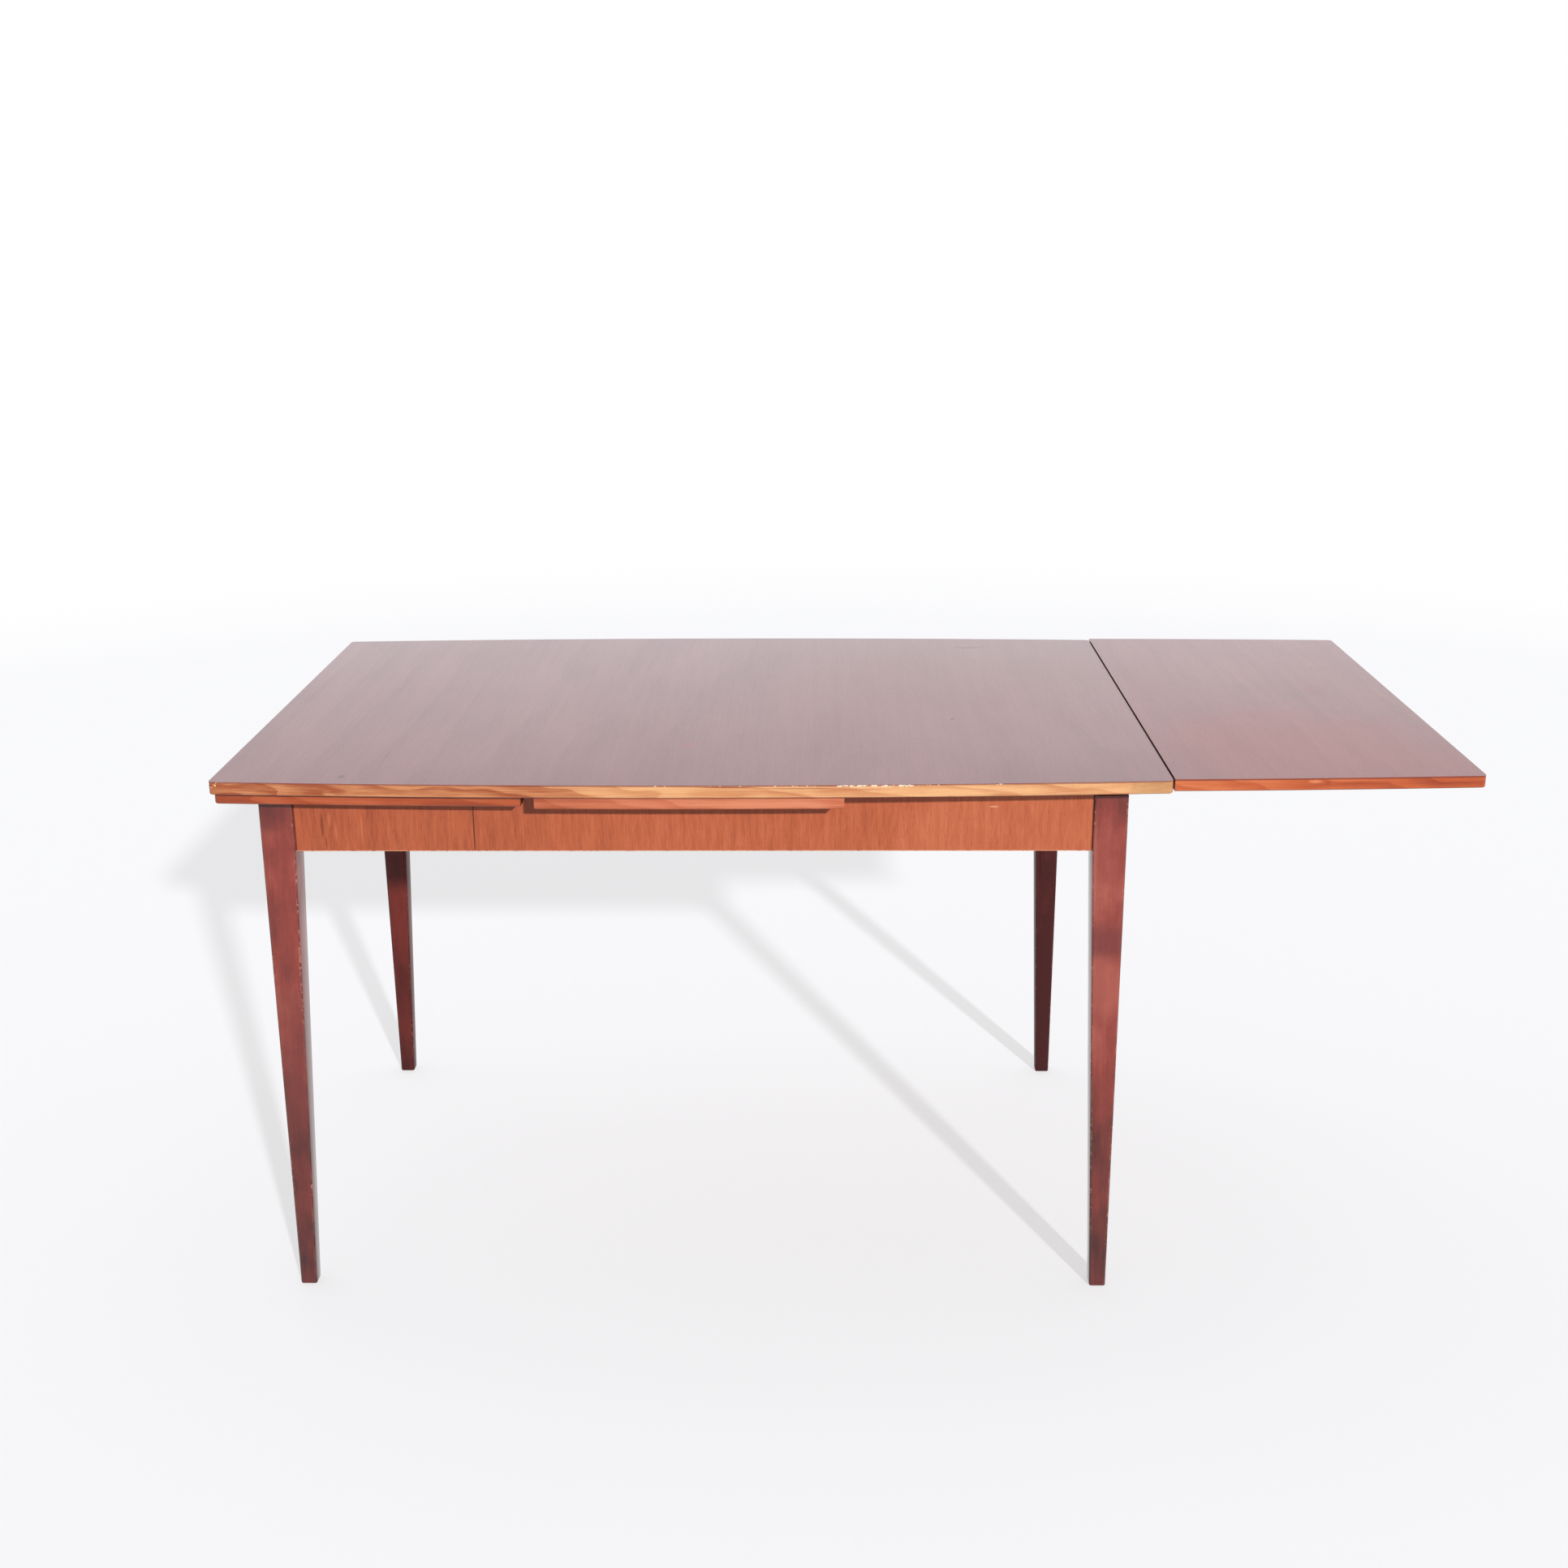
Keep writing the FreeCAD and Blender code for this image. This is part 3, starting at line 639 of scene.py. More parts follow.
@dataclass(frozen=True)
class TableVeneer(Wood):
    """Glossy veneer, whose varnish is a little thinner along the side where people sit."""

    thinning: float = 0.3
    rear_edge: float = 0.4
    patches: float = 0.12
    patch_size: Pair = (0.3, 0.18)

    def varnish(self, shader: Shader) -> Union[Signal, float]:
        """Return the varnish, thinner in front and uneven in soft patches."""
        patches = self.layer(shader, self.patch_size, ONE_OCTAVE) * self.patches
        return self.coat + patches - (self.rear_edge - shader.here[1]) * self.thinning


@dataclass(frozen=True)
class Lipping(Wood):
    """Solid edge lipping, whose narrow face shows slanting flames and fades to one end."""

    lines: float = 0.12
    pores: float = 0.12
    roughness: float = 0.4
    coat: float = 0.5
    flames: float = 0.36
    flame_size: Pair = (0.13, 0.022)
    swirl: float = 3.2
    swirl_size: Pair = (0.16, 0.05)
    flame_rise: Pair = (0.15, 0.86)
    flame_fall: Pair = (0.90, 0.96)
    flame_mean: float = 0.42

    def tone(self, shader: Shader) -> Signal:
        """Return the tone with its flames.

        Args:
            shader: The material under construction.

        Returns:
            The tone at the point.
        """
        along, across, _ = self.axes(shader)
        swirl = self.layer(shader, self.swirl_size) * self.swirl
        wave = (along / self.flame_size[0] + across / self.flame_size[1] + swirl).fraction()
        flame = wave.rise(*self.flame_rise) * (1 - wave.rise(*self.flame_fall)) - self.flame_mean
        return super().tone(shader) + flame * self.flames


@dataclass(frozen=True)
class LegStain(Wood):
    """Dark cloudy stain on the legs, rubbed thin along their long edges, with painted shade on
    their tops, along their arrises and over the rear legs.
    """

    sizes: LegSizes = LegSizes()
    rubbed: Look = (214, 150, 124)
    mean_tone: float = 0.46
    foot_zone: Pair = (0.02, 0.40)
    foot_darkening: float = 0.4
    # Painted shade at the top of every leg, under the table top
    top_shade_zone: Pair = (0.66, 0.71)
    top_painted_shade: float = 0.2
    between_legs: Pair = (-0.1, 0.1)
    # Painted shade on the rear legs, as if they stood in the table's shadow: darker, calmer clouds,
    # thinner varnish and fewer rubbed spots, the rear right leg darkest
    rear_painted_shade: float = 0.27
    rear_right_painted_shade: float = 0.24
    rear_calm: float = 0.55
    rear_shade_thinning: float = 0.6
    # Painted shade along every arris of the legs
    edge_shade_band: Pair = (0.0004, 0.0026)
    edge_painted_shade: float = 0.4
    rub_band: Pair = (0.0008, 0.0034)
    rubbing: float = 0.6
    rear_rubbing_less: float = 0.7
    dots: Point = (260, 260, 170)
    dot_rim: Pair = (0.52, 0.62)
    stretches: Point = (12, 12, 9)
    stretch_rim: Pair = (0.36, 0.6)
    haze: Point = (60, 60, 22)
    haze_rim: Pair = (0.4, 0.7)
    haze_share: float = 0.35
    wear_fineness: float = 0.6

    def tone(self, shader: Shader) -> Signal:
        """Return the tone, darker at the foot, with painted shade at the top, along the arrises and
        on the rear legs.

        Args:
            shader: The material under construction.

        Returns:
            The tone at the point.
        """
        x, _, z = shader.here
        foot = (1 - z.rise(*self.foot_zone)) * self.foot_darkening
        # The tops of the legs get painted shade from under the table
        ends = foot + z.rise(*self.top_shade_zone) * self.top_painted_shade
        rear = self.rear(shader)
        # Painted shade on the rear legs, most on the rear right one
        right = x.rise(*self.between_legs) * self.rear_right_painted_shade + self.rear_painted_shade
        # Painted shade along the arrises
        edge = 1 - self.edge_distance(shader).rise(*self.edge_shade_band)
        clouds = (super().tone(shader) - 0.5 + ends) * (1 - rear * self.rear_calm)
        return clouds + rear * right + edge * self.edge_painted_shade + self.mean_tone

    def varnish(self, shader: Shader) -> Union[Signal, float]:
        """Return the varnish, thinner on the rear legs so that they mirror less: painted shade."""
        return (1 - self.rear(shader) * self.rear_shade_thinning) * self.coat

    def rear(self, shader: Shader) -> Signal:
        """Return 1 on the rear legs and 0 on the front ones."""
        return shader.here[1].rise(*self.between_legs)

    def edge_distance(self, shader: Shader) -> Signal:
        """Measure how far a point is from a long edge, the same on all four legs.

        Args:
            shader: The material under construction.

        Returns:
            The distance in metres.
        """
        x, y, z = shader.here
        sizes = self.sizes
        spread = (sizes.width - sizes.foot_width) / sizes.knee
        width = (z * spread + sizes.foot_width).least(sizes.width)
        from_sides = []
        for part, outer in zip((x - sizes.middle_x, y), sizes.outer):
            outside = outer - abs(part)
            from_sides.append(outside.least(width - outside))
        return from_sides[0].most(from_sides[1])

    def wear(self, shader: Shader) -> Optional[tuple[Signal, Look]]:
        """Return the rubbed edges, broken up by noise.

        Args:
            shader: The material under construction.

        Returns:
            How worn each point is, and the look under the stain.
        """
        near = 1 - self.edge_distance(shader).rise(*self.rub_band)
        dots = shader.noise(shader.here, self.dots, rough=self.wear_fineness).rise(*self.dot_rim)
        where = shader.noise(shader.here, self.stretches).rise(*self.stretch_rim)
        haze = shader.noise(shader.here, self.haze, MANY_OCTAVES, self.wear_fineness)
        haze = haze.rise(*self.haze_rim) * self.haze_share
        # Fewer rubbed spots show on the rear legs, as part of their painted shade
        front = (1 - self.rear(shader) * self.rear_rubbing_less) * self.rubbing
        return near * (dots * where).most(haze) * front, self.rubbed


@dataclass(frozen=True)
class Steel:
    """Plain turned steel with faint rings of the tool."""

    name: str
    look: Look = (168, 162, 152)
    dull_share: float = 0.55
    stops: Pair = (0.25, 0.75)
    marks: Point = (900, 900, 2500)
    roughness: Pair = (0.3, 0.55)
    relief: float = 0.00003

    def build(self) -> bpy.types.Material:
        """Build the material.

        Returns:
            The finished material.
        """
        shader = Shader(self.name)
        grey = shader.noise(shader.here, self.marks)
        bright = linear(self.look)
        dull = tuple(self.dull_share * part for part in bright)
        colour = shader.ramp(grey, *zip(self.stops, (dull, bright)))
        smooth, rough = self.roughness
        gloss = smooth + grey * (rough - smooth)
        surface = {"Base Color": colour, "Roughness": gloss, "Metallic": 1.0}
        shader.finish(surface, grey, self.relief)
        return shader.material


CHIPPED_EDGE = (238, 186, 132)
DARK_SEAM = (92, 34, 22)
TOP_VENEER = TableVeneer(
    "top_veneer_wood",
    Grain.ACROSS_TABLE,
    ((154, 80, 78), (130, 62, 62), (100, 43, 45)),
    drift=0.14,
    drift_size=(0.22, 0.1),
    streaks=0.08,
    streak_size=(0.4, 0.014),
    lines=0.11,
    line_size=(0.08, 0.0016),
    rings=0.09,
    ring_width=0.014,
    ring_waver=0.01,
    pores=0.3,
    roughness=0.34,
    specular=0.4,
    coat=1.0,
    coat_roughness=0.1,
    flaws=(
        Mark((0.15, 0.06, 0.75), (0.3, 0.4, 0.4), (150, 88, 60), 0.3),
        Mark((0.21, 0.343, 0.75), (0.034, 0.006, 0.01), (84, 36, 32), 0.6),
        Mark((-0.207, -0.23, 0.75), (0.016, 0.022, 0.01), (176, 80, 80), 0.3),
        Mark((-0.643, -0.375, 0.75), (0.006, 0.012, 0.01), (60, 28, 32), 0.6),
        Mark((0.154, -0.1, 0.75), (0.004, 0.006, 0.01), (60, 28, 32), 0.7),
        Chips((-0.012, -0.43, 0.748), (0.085, -0.38, 0.7496), amount=0.62),
        Chips((0.085, -0.43, 0.748), (0.2, -0.38, 0.7496), amount=0.25),
        Chips((-0.25, -0.43, 0.748), (-0.03, -0.38, 0.7496), amount=0.15),
        Chips((-0.81, -0.43, 0.748), (-0.795, -0.37, 0.7496), CHIPPED_EDGE),
    ),
)
LEAF_VENEER = replace(
    TOP_VENEER,
    name="leaf_veneer_wood",
    tones=((160, 81, 76), (136, 63, 60), (105, 44, 44)),
    drift=0.12,
    drift_size=(0.16, 0.1),
    streaks=0.06,
    lines=0.08,
    rings=0.07,
    specular=0.35,
    coat=0.95,
    flaws=(
        Mark((0.62, -0.24, 0.752), (0.28, 0.26, 0.3), (176, 76, 62), 0.3),
        Mark((0.7, 0.05, 0.752), (0.02, 0.05, 0.01), (158, 74, 78), 0.35),
    ),
)
TOP_LIPPING = Lipping(
    "top_lipping_wood",
    Grain.ALONG_TABLE,
    ((230, 174, 122), (202, 134, 88), (152, 70, 34)),
    start=0.3,
    # The fades make the lipping paler towards the right end: mostly the wood's own tone, partly
    # painted light from the lamp at the front right
    fades=((-0.42, -0.28, -0.46), (-0.02, 0.08, -0.14), (0.1, 0.34, 0.06)),
    flames=0.31,
    lines=0.18,
    line_size=(0.05, 0.0013),
    flaws=(
        Seam((-0.81, -0.43, 0.7479), (0.42, 0.43, 0.7493), (120, 56, 34), 0.55),
        Seam((-0.81, -0.43, 0.7325), (0.42, 0.43, 0.7338), (120, 56, 34), 0.55),
        Mark((0.392, -0.398, 0.741), (0.05, 0.03, 0.013), (160, 118, 72), 0.45),
        Mark((-0.15, -0.41, 0.7472), (0.05, 0.03, 0.0011), (140, 62, 40), 0.8, 0.3),
        Mark((-0.06, -0.41, 0.7456), (0.075, 0.03, 0.001), (150, 72, 46), 0.7, 0.3),
        Mark((0.02, -0.41, 0.744), (0.05, 0.03, 0.001), (170, 92, 60), 0.6, 0.3),
        Chips((-0.012, -0.43, 0.7476), (0.085, -0.38, 0.751), amount=0.62),
        Chips((0.085, -0.43, 0.7482), (0.2, -0.38, 0.751), amount=0.25),
        Chips((-0.25, -0.43, 0.7484), (-0.03, -0.38, 0.751), amount=0.15),
        Chips((-0.81, -0.43, 0.742), (-0.797, -0.37, 0.75), CHIPPED_EDGE, 0.35),
    ),
)
TOP_END_LIPPING = Lipping(
    "top_end_lipping_wood",
    Grain.ACROSS_TABLE,
    ((228, 168, 120), (196, 128, 88), (158, 84, 50)),
    flames=0.2,
)
# Painted shade: a near-black lipping for the faces inside the seam at the top's right end and
# inside the slot beside the stowed left leaf
SHADED_GAP_LIPPING = Lipping(
    "shaded_gap_lipping_wood",
    Grain.ACROSS_TABLE,
    ((112, 54, 34), (88, 38, 24), (60, 24, 16)),
    lines=0.1,
    roughness=0.5,
    coat=0.2,
)
LEAF_LIPPING = Lipping(
    "leaf_lipping_wood",
    Grain.ALONG_TABLE,
    ((210, 116, 70), (186, 88, 46), (144, 56, 28)),
    start=-0.16,
    fades=((0.41, 0.58, 0.16), (0.62, 0.78, 0.16)),
    flames=0.3,
    pores=0.15,
    flaws=(
        Seam((0.41, -0.43, 0.75), (0.82, 0.43, 0.7513), DARK_SEAM, 0.7),
        Seam((0.41, -0.43, 0.7355), (0.82, 0.43, 0.7371), DARK_SEAM),
        Seam((0.8062, -0.43, 0.7355), (0.82, 0.43, 0.7525), DARK_SEAM),
        Mark((0.59, -0.391, 0.7475), (0.012, 0.02, 0.003), (224, 138, 96), 0.7),
        Mark((0.606, -0.391, 0.745), (0.005, 0.02, 0.004), (150, 64, 40), 0.6),
        Mark((0.64, -0.391, 0.744), (0.03, 0.02, 0.002), (150, 62, 36), 0.5),
    ),
)
# Painted shade: the stowed left leaf lies under the top's overhang, so its lipping is a darker copy
# of the right leaf's
SHADED_LEFT_LEAF_LIPPING = replace(
    LEAF_LIPPING,
    name="shaded_left_leaf_lipping_wood",
    tones=((192, 100, 60), (166, 74, 36), (126, 48, 24)),
    start=0.0,
    fades=(),
    flaws=(
        # Painted shadow of the top's lipping along the upper arris
        Seam((-0.82, -0.43, 0.731), (-0.4, 0.43, 0.733), DARK_SEAM),
        Seam((-0.82, -0.43, 0.716), (-0.4, 0.43, 0.7176), DARK_SEAM),
    ),
)
LEAF_END_LIPPING = Lipping(
    "leaf_end_lipping_wood",
    Grain.ACROSS_TABLE,
    ((206, 112, 66), (184, 86, 42), (144, 56, 26)),
    flames=0.2,
    lines=0.1,
    pores=0.15,
)
BOARD_LIPPING = Lipping(
    "board_lipping_wood",
    Grain.ALONG_TABLE,
    ((224, 148, 112), (200, 114, 80), (164, 80, 52)),
    start=0.38,
    fades=((-0.4, -0.24, -0.28), (-0.24, -0.04, -0.26), (-0.04, -0.01, 0.2)),
    flames=0.17,
    lines=0.14,
    roughness=0.45,
    coat=0.3,
    flaws=(
        # Painted shadow of the top's lipping along the board lipping's upper arris
        Seam((-0.4, -0.43, 0.7317), (0.01, 0.43, 0.7335), DARK_SEAM, 0.5),
        Seam((-0.4, -0.43, 0.7155), (0.01, 0.43, 0.717), DARK_SEAM, 0.5),
    ),
)
APRON = Wood(
    "apron_wood",
    Grain.UPRIGHT,
    ((206, 120, 82), (180, 93, 60), (134, 60, 38)),
    start=0.12,
    # The fades paint the apron paler towards its right end: painted light from the lamp at the
    # front right
    fades=((-0.46, -0.36, -0.12), (0.0, 0.1, -0.12)),
    drift=0.11,
    drift_size=(0.12, 0.04),
    streaks=0.14,
    streak_size=(0.045, 0.005),
    line_size=(0.022, 0.0012),
    rings=0.0,
    pores=0.3,
    pore_size=(0.008, 0.0006),
    specular=0.1,
    flaws=(
        Mark((-0.482, -0.348, 0.677), (0.0012, 0.01, 0.09), (72, 28, 18), 0.9, 0.3),
        Mark((-0.68, -0.348, 0.676), (0.0022, 0.01, 0.022), (110, 46, 28), 0.7),
        Mark((-0.676, -0.348, 0.652), (0.0013, 0.01, 0.012), (110, 46, 28), 0.7),
        Mark((-0.67, -0.348, 0.684), (0.003, 0.01, 0.012), (214, 132, 90), 0.3, 0.9),
        Mark((-0.662, -0.348, 0.666), (0.002, 0.01, 0.014), (214, 132, 90), 0.25, 0.9),
        Mark((-0.628, -0.348, 0.67), (0.0016, 0.01, 0.028), (214, 132, 90), 0.25, 0.9),
        Mark((0.192, -0.348, 0.7005), (0.008, 0.01, 0.0012), (236, 180, 146), 0.7, 0.4),
        Mark((-0.01, -0.348, 0.676), (0.001, 0.01, 0.02), (220, 140, 100), 0.25),
        # Dark lines on the apron beside the legs: the joint, with painted shadow of the legs, which
        # stand proud of the apron
        Seam((-0.725, -0.36, 0.63), (-0.7148, 0.36, 0.72), DARK_SEAM, 0.75),
        Seam((0.3193, -0.36, 0.63), (0.33, 0.36, 0.72), DARK_SEAM, 0.75),
        # Pale specks along the apron's lower arris: worn varnish, with a painted highlight along
        # the arris
        Chips((-0.72, -0.352, 0.6395), (0.33, -0.347, 0.6412), (226, 160, 122), 0.9),
    ),
)
LEG = LegStain(
    "leg_wood",
    Grain.UPRIGHT,
    ((184, 96, 80), (138, 54, 44), (68, 25, 24)),
    drift=0.26,
    drift_size=(0.09, 0.06),
    streaks=0.08,
    streak_size=(0.08, 0.012),
    lines=0.07,
    line_size=(0.05, 0.0012),
    rings=0.0,
    pores=0.3,
    pore_size=(0.006, 0.0006),
    roughness=0.4,
    specular=0.0,
    coat=0.95,
    coat_roughness=0.05,
    flaws=(
        # Painted shade at the top of the front left leg, under the table top
        Mark((-0.752, -0.3525, 0.69), (0.03, 0.03, 0.035), (84, 28, 24), 0.55),
        Mark((-0.745, -0.3525, 0.28), (0.05, 0.05, 0.1), (92, 38, 34), 0.55),
        Mark((0.345, -0.3525, 0.515), (0.05, 0.05, 0.035), (100, 42, 42), 0.55),
        Mark((0.345, -0.3525, 0.45), (0.05, 0.05, 0.06), (180, 96, 80), 0.45),
        Mark((-0.745, -0.3525, 0.39), (0.05, 0.05, 0.1), (104, 46, 42), 0.35),
        Mark((0.323, -0.3525, 0.6), (0.006, 0.03, 0.11), (184, 104, 88), 0.4),
        Mark((0.345, -0.3525, 0.63), (0.03, 0.03, 0.06), (150, 64, 50), 0.3),
    ),
)


def plain(name: str, grain: Grain, *tones: Look) -> Wood:
    """Return unvarnished timber."""
    return Wood(name, grain, tones, rings=0.3, roughness=0.6, specular=0.3, coat=0.0)


BARE = plain("bare_timber", Grain.ACROSS_TABLE, (222, 178, 126), (202, 152, 102), (166, 114, 72))
RUNNER = plain("runner_timber", Grain.ALONG_TABLE, (226, 184, 134), (206, 158, 108), (170, 120, 78))
PEG = plain("peg_timber", Grain.UPRIGHT, (230, 192, 144), (212, 168, 120), (178, 132, 90))
BOARD = plain("board_timber", Grain.ACROSS_TABLE, (206, 150, 108), (184, 122, 86), (148, 90, 62))
SCREW = Steel("screw_steel")

Finish = Union[Wood, Steel]


@cache
def material_of(finish: Finish) -> bpy.types.Material:
    """Return the material of a finish, built on first use."""
    return finish.build()


# Shapes

# Points nearer than this to a level, in metres, lie in it
SAME_PLACE = 1e-6


def edges_at(body: Body, axis: int, level: float) -> list[bmesh.types.BMEdge]:
    """Find the edges that lie in one plane.

    Args:
        body: The mesh under construction.
        axis: The axis that the plane stands across, 0 to 2.
        level: Where it stands.

    Returns:
        The edges.
    """
    return [
        edge
        for edge in body.edges
        if all(abs(point.co[axis] - level) < SAME_PLACE for point in edge.verts)
    ]


def round_off(body: Body, edges: Sequence[Any], width: float, steps: int) -> None:
    """Round a set of edges.

    Args:
        body: The mesh under construction.
        edges: The edges.
        width: How far from an edge the rounding starts.
        steps: How many flats it has.
    """
    bmesh.ops.bevel(
        body,
        geom=list(edges),
        offset=width,
        offset_type="OFFSET",
        affect="EDGES",
        segments=steps,
        profile=0.5,
        material=-1,
    )


def cut(body: Body, point: Point, across: Point) -> None:
    """Cut a whole mesh along a plane, and leave both parts where they are."""
    everything = body.verts[:] + body.edges[:] + body.faces[:]
    bmesh.ops.bisect_plane(body, geom=everything, plane_co=point, plane_no=across)


def to_scene(name: str, body: Body, sharp: float = 28.0) -> bpy.types.Object:
    """Turn a mesh under construction into an object of the scene.

    Args:
        name: The object's name.
        body: The mesh, which can't be changed afterwards.
        sharp: The angle in degrees above which an edge isn't shaded smooth.

    Returns:
        The object.
    """
    mesh = bpy.data.meshes.new(name)
    body.to_mesh(mesh)
    body.free()
    for face in mesh.polygons:
        face.use_smooth = True
    mesh.set_sharp_from_angle(angle=math.radians(sharp))
    piece = bpy.data.objects.new(name, mesh)
    bpy.context.scene.collection.objects.link(piece)
    return piece


# Sub-assemblies


@dataclass
class Assembly:
    """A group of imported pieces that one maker's step dresses together."""

    nodes: Mapping[str, bpy.types.Object]

    def paint(self, node: str, finish: Finish) -> None:
        """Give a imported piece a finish.

        Args:
            node: The piece's name.
            finish: The finish that it gets.
        """
        piece = self.nodes[node]
        material = material_of(finish)
        if not piece.material_slots:
            piece.data.materials.append(material)
        for slot in piece.material_slots:
            slot.material = material
        log.info("%s is finished in %s", node, finish.name)

    def dress(self) -> None:
        """Finish every piece of the group."""
        raise NotImplementedError


@dataclass
class Leg:
    """One leg: a square post that tapers on its two inner faces down to the foot."""

    name: str
    side: int
    end: int
    sizes: LegSizes = LegSizes()

    def build(self) -> bpy.types.Object:
        """Model the leg in place.

        Returns:
            The leg's object.
        """
        sizes = self.sizes
        outer = (sizes.middle_x + self.side * sizes.outer[0], self.end * sizes.outer[1])
        turns = zip(outer, (self.side, self.end))
        middle = [part - turn * sizes.width / 2 for part, turn in turns]
        place = Matrix.Translation((*middle, sizes.top / 2))
        size = Matrix.Diagonal((sizes.width, sizes.width, sizes.top, 1.0))
        body = bmesh.new()
        bmesh.ops.create_cube(body, size=1.0, matrix=place @ size)
        cut(body, (0, 0, sizes.knee), (0, 0, 1))
        bottom = [point for point in body.verts if point.co.z < sizes.knee / 2]
        share = sizes.foot_width / sizes.width
        corner = Matrix.Translation(-Vector((*outer, 0.0)))
        bmesh.ops.scale(body, vec=(share, share, 1.0), verts=bottom, space=corner)
        ends = {edge: [point.co.z for point in edge.verts] for edge in body.edges}
        upright = [edge for edge, (low, high) in ends.items() if abs(low - high) > SAME_PLACE]
        round_off(body, upright, sizes.long_arris, sizes.long_steps)
        round_off(body, edges_at(body, 2, 0.0), sizes.foot_arris, sizes.foot_steps)
        return to_scene(self.name, body)


@dataclass
class Screw:
    """A slotted wood screw that stands head down."""

    foot: Point
    length: float
    turn: float
    head_radius: float = 0.004
    head_height: float = 0.0025
    rim: float = 0.0004
    rim_steps: int = 2
    slot_width: float = 0.001
    slot_depth: float = 0.0011
    shank_radius: float = 0.002
    core_radius: float = 0.0014
    tip: float = 0.004
    sides: int = 24

    def build(self) -> bpy.types.Mesh:
        """Model the screw in place.

        Returns:
            The screw's mesh.
        """
        body = bmesh.new()
        self.cone(body, (0.0, self.head_height), (self.head_radius, self.head_radius))
        round_off(body, edges_at(body, 2, 0.0), self.rim, self.rim_steps)
        self.cut_slot(body)
        below_tip = self.length - self.tip
        self.cone(body, (self.head_height, below_tip), (self.shank_radius, self.core_radius))
        self.cone(body, (below_tip, self.length), (self.core_radius, 0.0))
        bmesh.ops.recalc_face_normals(body, faces=body.faces[:])
        place = Matrix.Translation(self.foot) @ Matrix.Rotation(self.turn, 4, "Z")
        bmesh.ops.transform(body, matrix=place, verts=body.verts[:])
        mesh = bpy.data.meshes.new("screw")
        body.to_mesh(mesh)
        body.free()
        return mesh

    def cone(self, body: Body, ends: Pair, radii: Pair) -> None:
        """Add one turned length.

        Args:
            body: The mesh under construction.
            ends: The heights of its two ends.
            radii: Its radius at each of them.
        """
        bmesh.ops.create_cone(
            body,
            cap_ends=True,
            segments=self.sides,
            radius1=radii[0],
            radius2=radii[1],
            depth=ends[1] - ends[0],
            matrix=Matrix.Translation((0, 0, sum(ends) / 2)),
        )

    def cut_slot(self, body: Body) -> None:
        """Saw the slot for the driver across the head.

        Args:
            body: The mesh, which holds the head alone.
        """
        half = self.slot_width / 2
        cut(body, (0, half, 0), (0, 1, 0))
        cut(body, (0, -half, 0), (0, 1, 0))
        cut(body, (0, 0, self.slot_depth), (0, 0, 1))
        middles = {face: face.calc_center_median() for face in body.faces}
        waste = [
            face
            for face, middle in middles.items()
            if abs(middle.y) < half and middle.z < self.slot_depth
        ]
        bmesh.ops.delete(body, geom=waste, context="FACES")
        for side in (-half, half):
            points = {point for edge in self.open_edges(body, 1, side) for point in edge.verts}
            ends = [point for point in points if abs(point.co.z - self.slot_depth) < SAME_PLACE]
            body.edges.new(ends)
            bmesh.ops.contextual_create(body, geom=self.open_edges(body, 1, side))
        bmesh.ops.contextual_create(body, geom=self.open_edges(body, 2, self.slot_depth))

    @staticmethod
    def open_edges(body: Body, axis: int, level: float) -> list[bmesh.types.BMEdge]:
        """Return the edges in one plane that lack a face on one side or on both."""
        return [edge for edge in edges_at(body, axis, level) if len(edge.link_faces) < 2]


@dataclass
class Screws(Assembly):
    """One set of slotted screws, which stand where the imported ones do."""

    node: str
    rides_on: str
    first_turn: float = 0.7
    next_turn: float = 1.9
    sharp: float = 30.0
    apart: float = 0.012

    def dress(self) -> None:
        """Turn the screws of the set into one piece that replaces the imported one."""
        body = bmesh.new()
        for number, (foot, length) in enumerate(self.packed()):
            screw = Screw(foot, length, self.first_turn + self.next_turn * number).build()
            body.from_mesh(screw)
            bpy.data.meshes.remove(screw)
        piece = to_scene(f"{self.node}_slotted", body, self.sharp)
        piece.data.materials.append(material_of(SCREW))
        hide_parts(self.node)
        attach(piece, self.rides_on)
        log.info("%s are slotted and finished in %s", self.node, SCREW.name)

    def packed(self) -> list[tuple[Point, float]]:
        """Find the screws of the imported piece, which stand upright and well apart.

        Returns:
            For each one the middle of its head's underside, and its length.
        """
        groups: list[list[Vector]] = []
        for point in self.nodes[self.node].data.vertices:
            for group in groups:
                if (group[0] - point.co).xy.length < self.apart:
                    group.append(point.co)
                    break
            else:
                groups.append([point.co])
        found = []
        for group in groups:
            low = [min(part) for part in zip(*group)]
            high = [max(part) for part in zip(*group)]
            middle = ((low[0] + high[0]) / 2, (low[1] + high[1]) / 2, low[2])
            found.append((middle, high[2] - low[2]))
        return sorted(found)


@dataclass
class Underframe(Assembly):
    """Legs, aprons, cross rails and corner blocks."""

    def dress(self) -> None:
        """Stain the legs and aprons, and leave the inner timber plain."""
        for end in ENDS:
            self.paint(f"apron_{end}", APRON)
            for side in SIDES:
                self.make_leg(side, end)
                self.paint(f"corner_block_{end}_{side}", BARE)
        for side in SIDES:
            self.paint(f"apron_{side}", APRON)
            self.paint(f"cross_rail_{side}", BARE)

    def make_leg(self, side: str, end: str) -> None:
        """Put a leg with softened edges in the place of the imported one.

        Args:
            side: Left or right.
            end: Front or rear.
        """
        node = f"leg_{end}_{side}"
        leg = Leg(f"{node}_shaped", SIDES[side], ENDS[end]).build()
        leg.data.materials.append(material_of(LEG))
        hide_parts(node)
        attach(leg, "frame")
        log.info("%s is shaped and finished in %s", node, LEG.name)


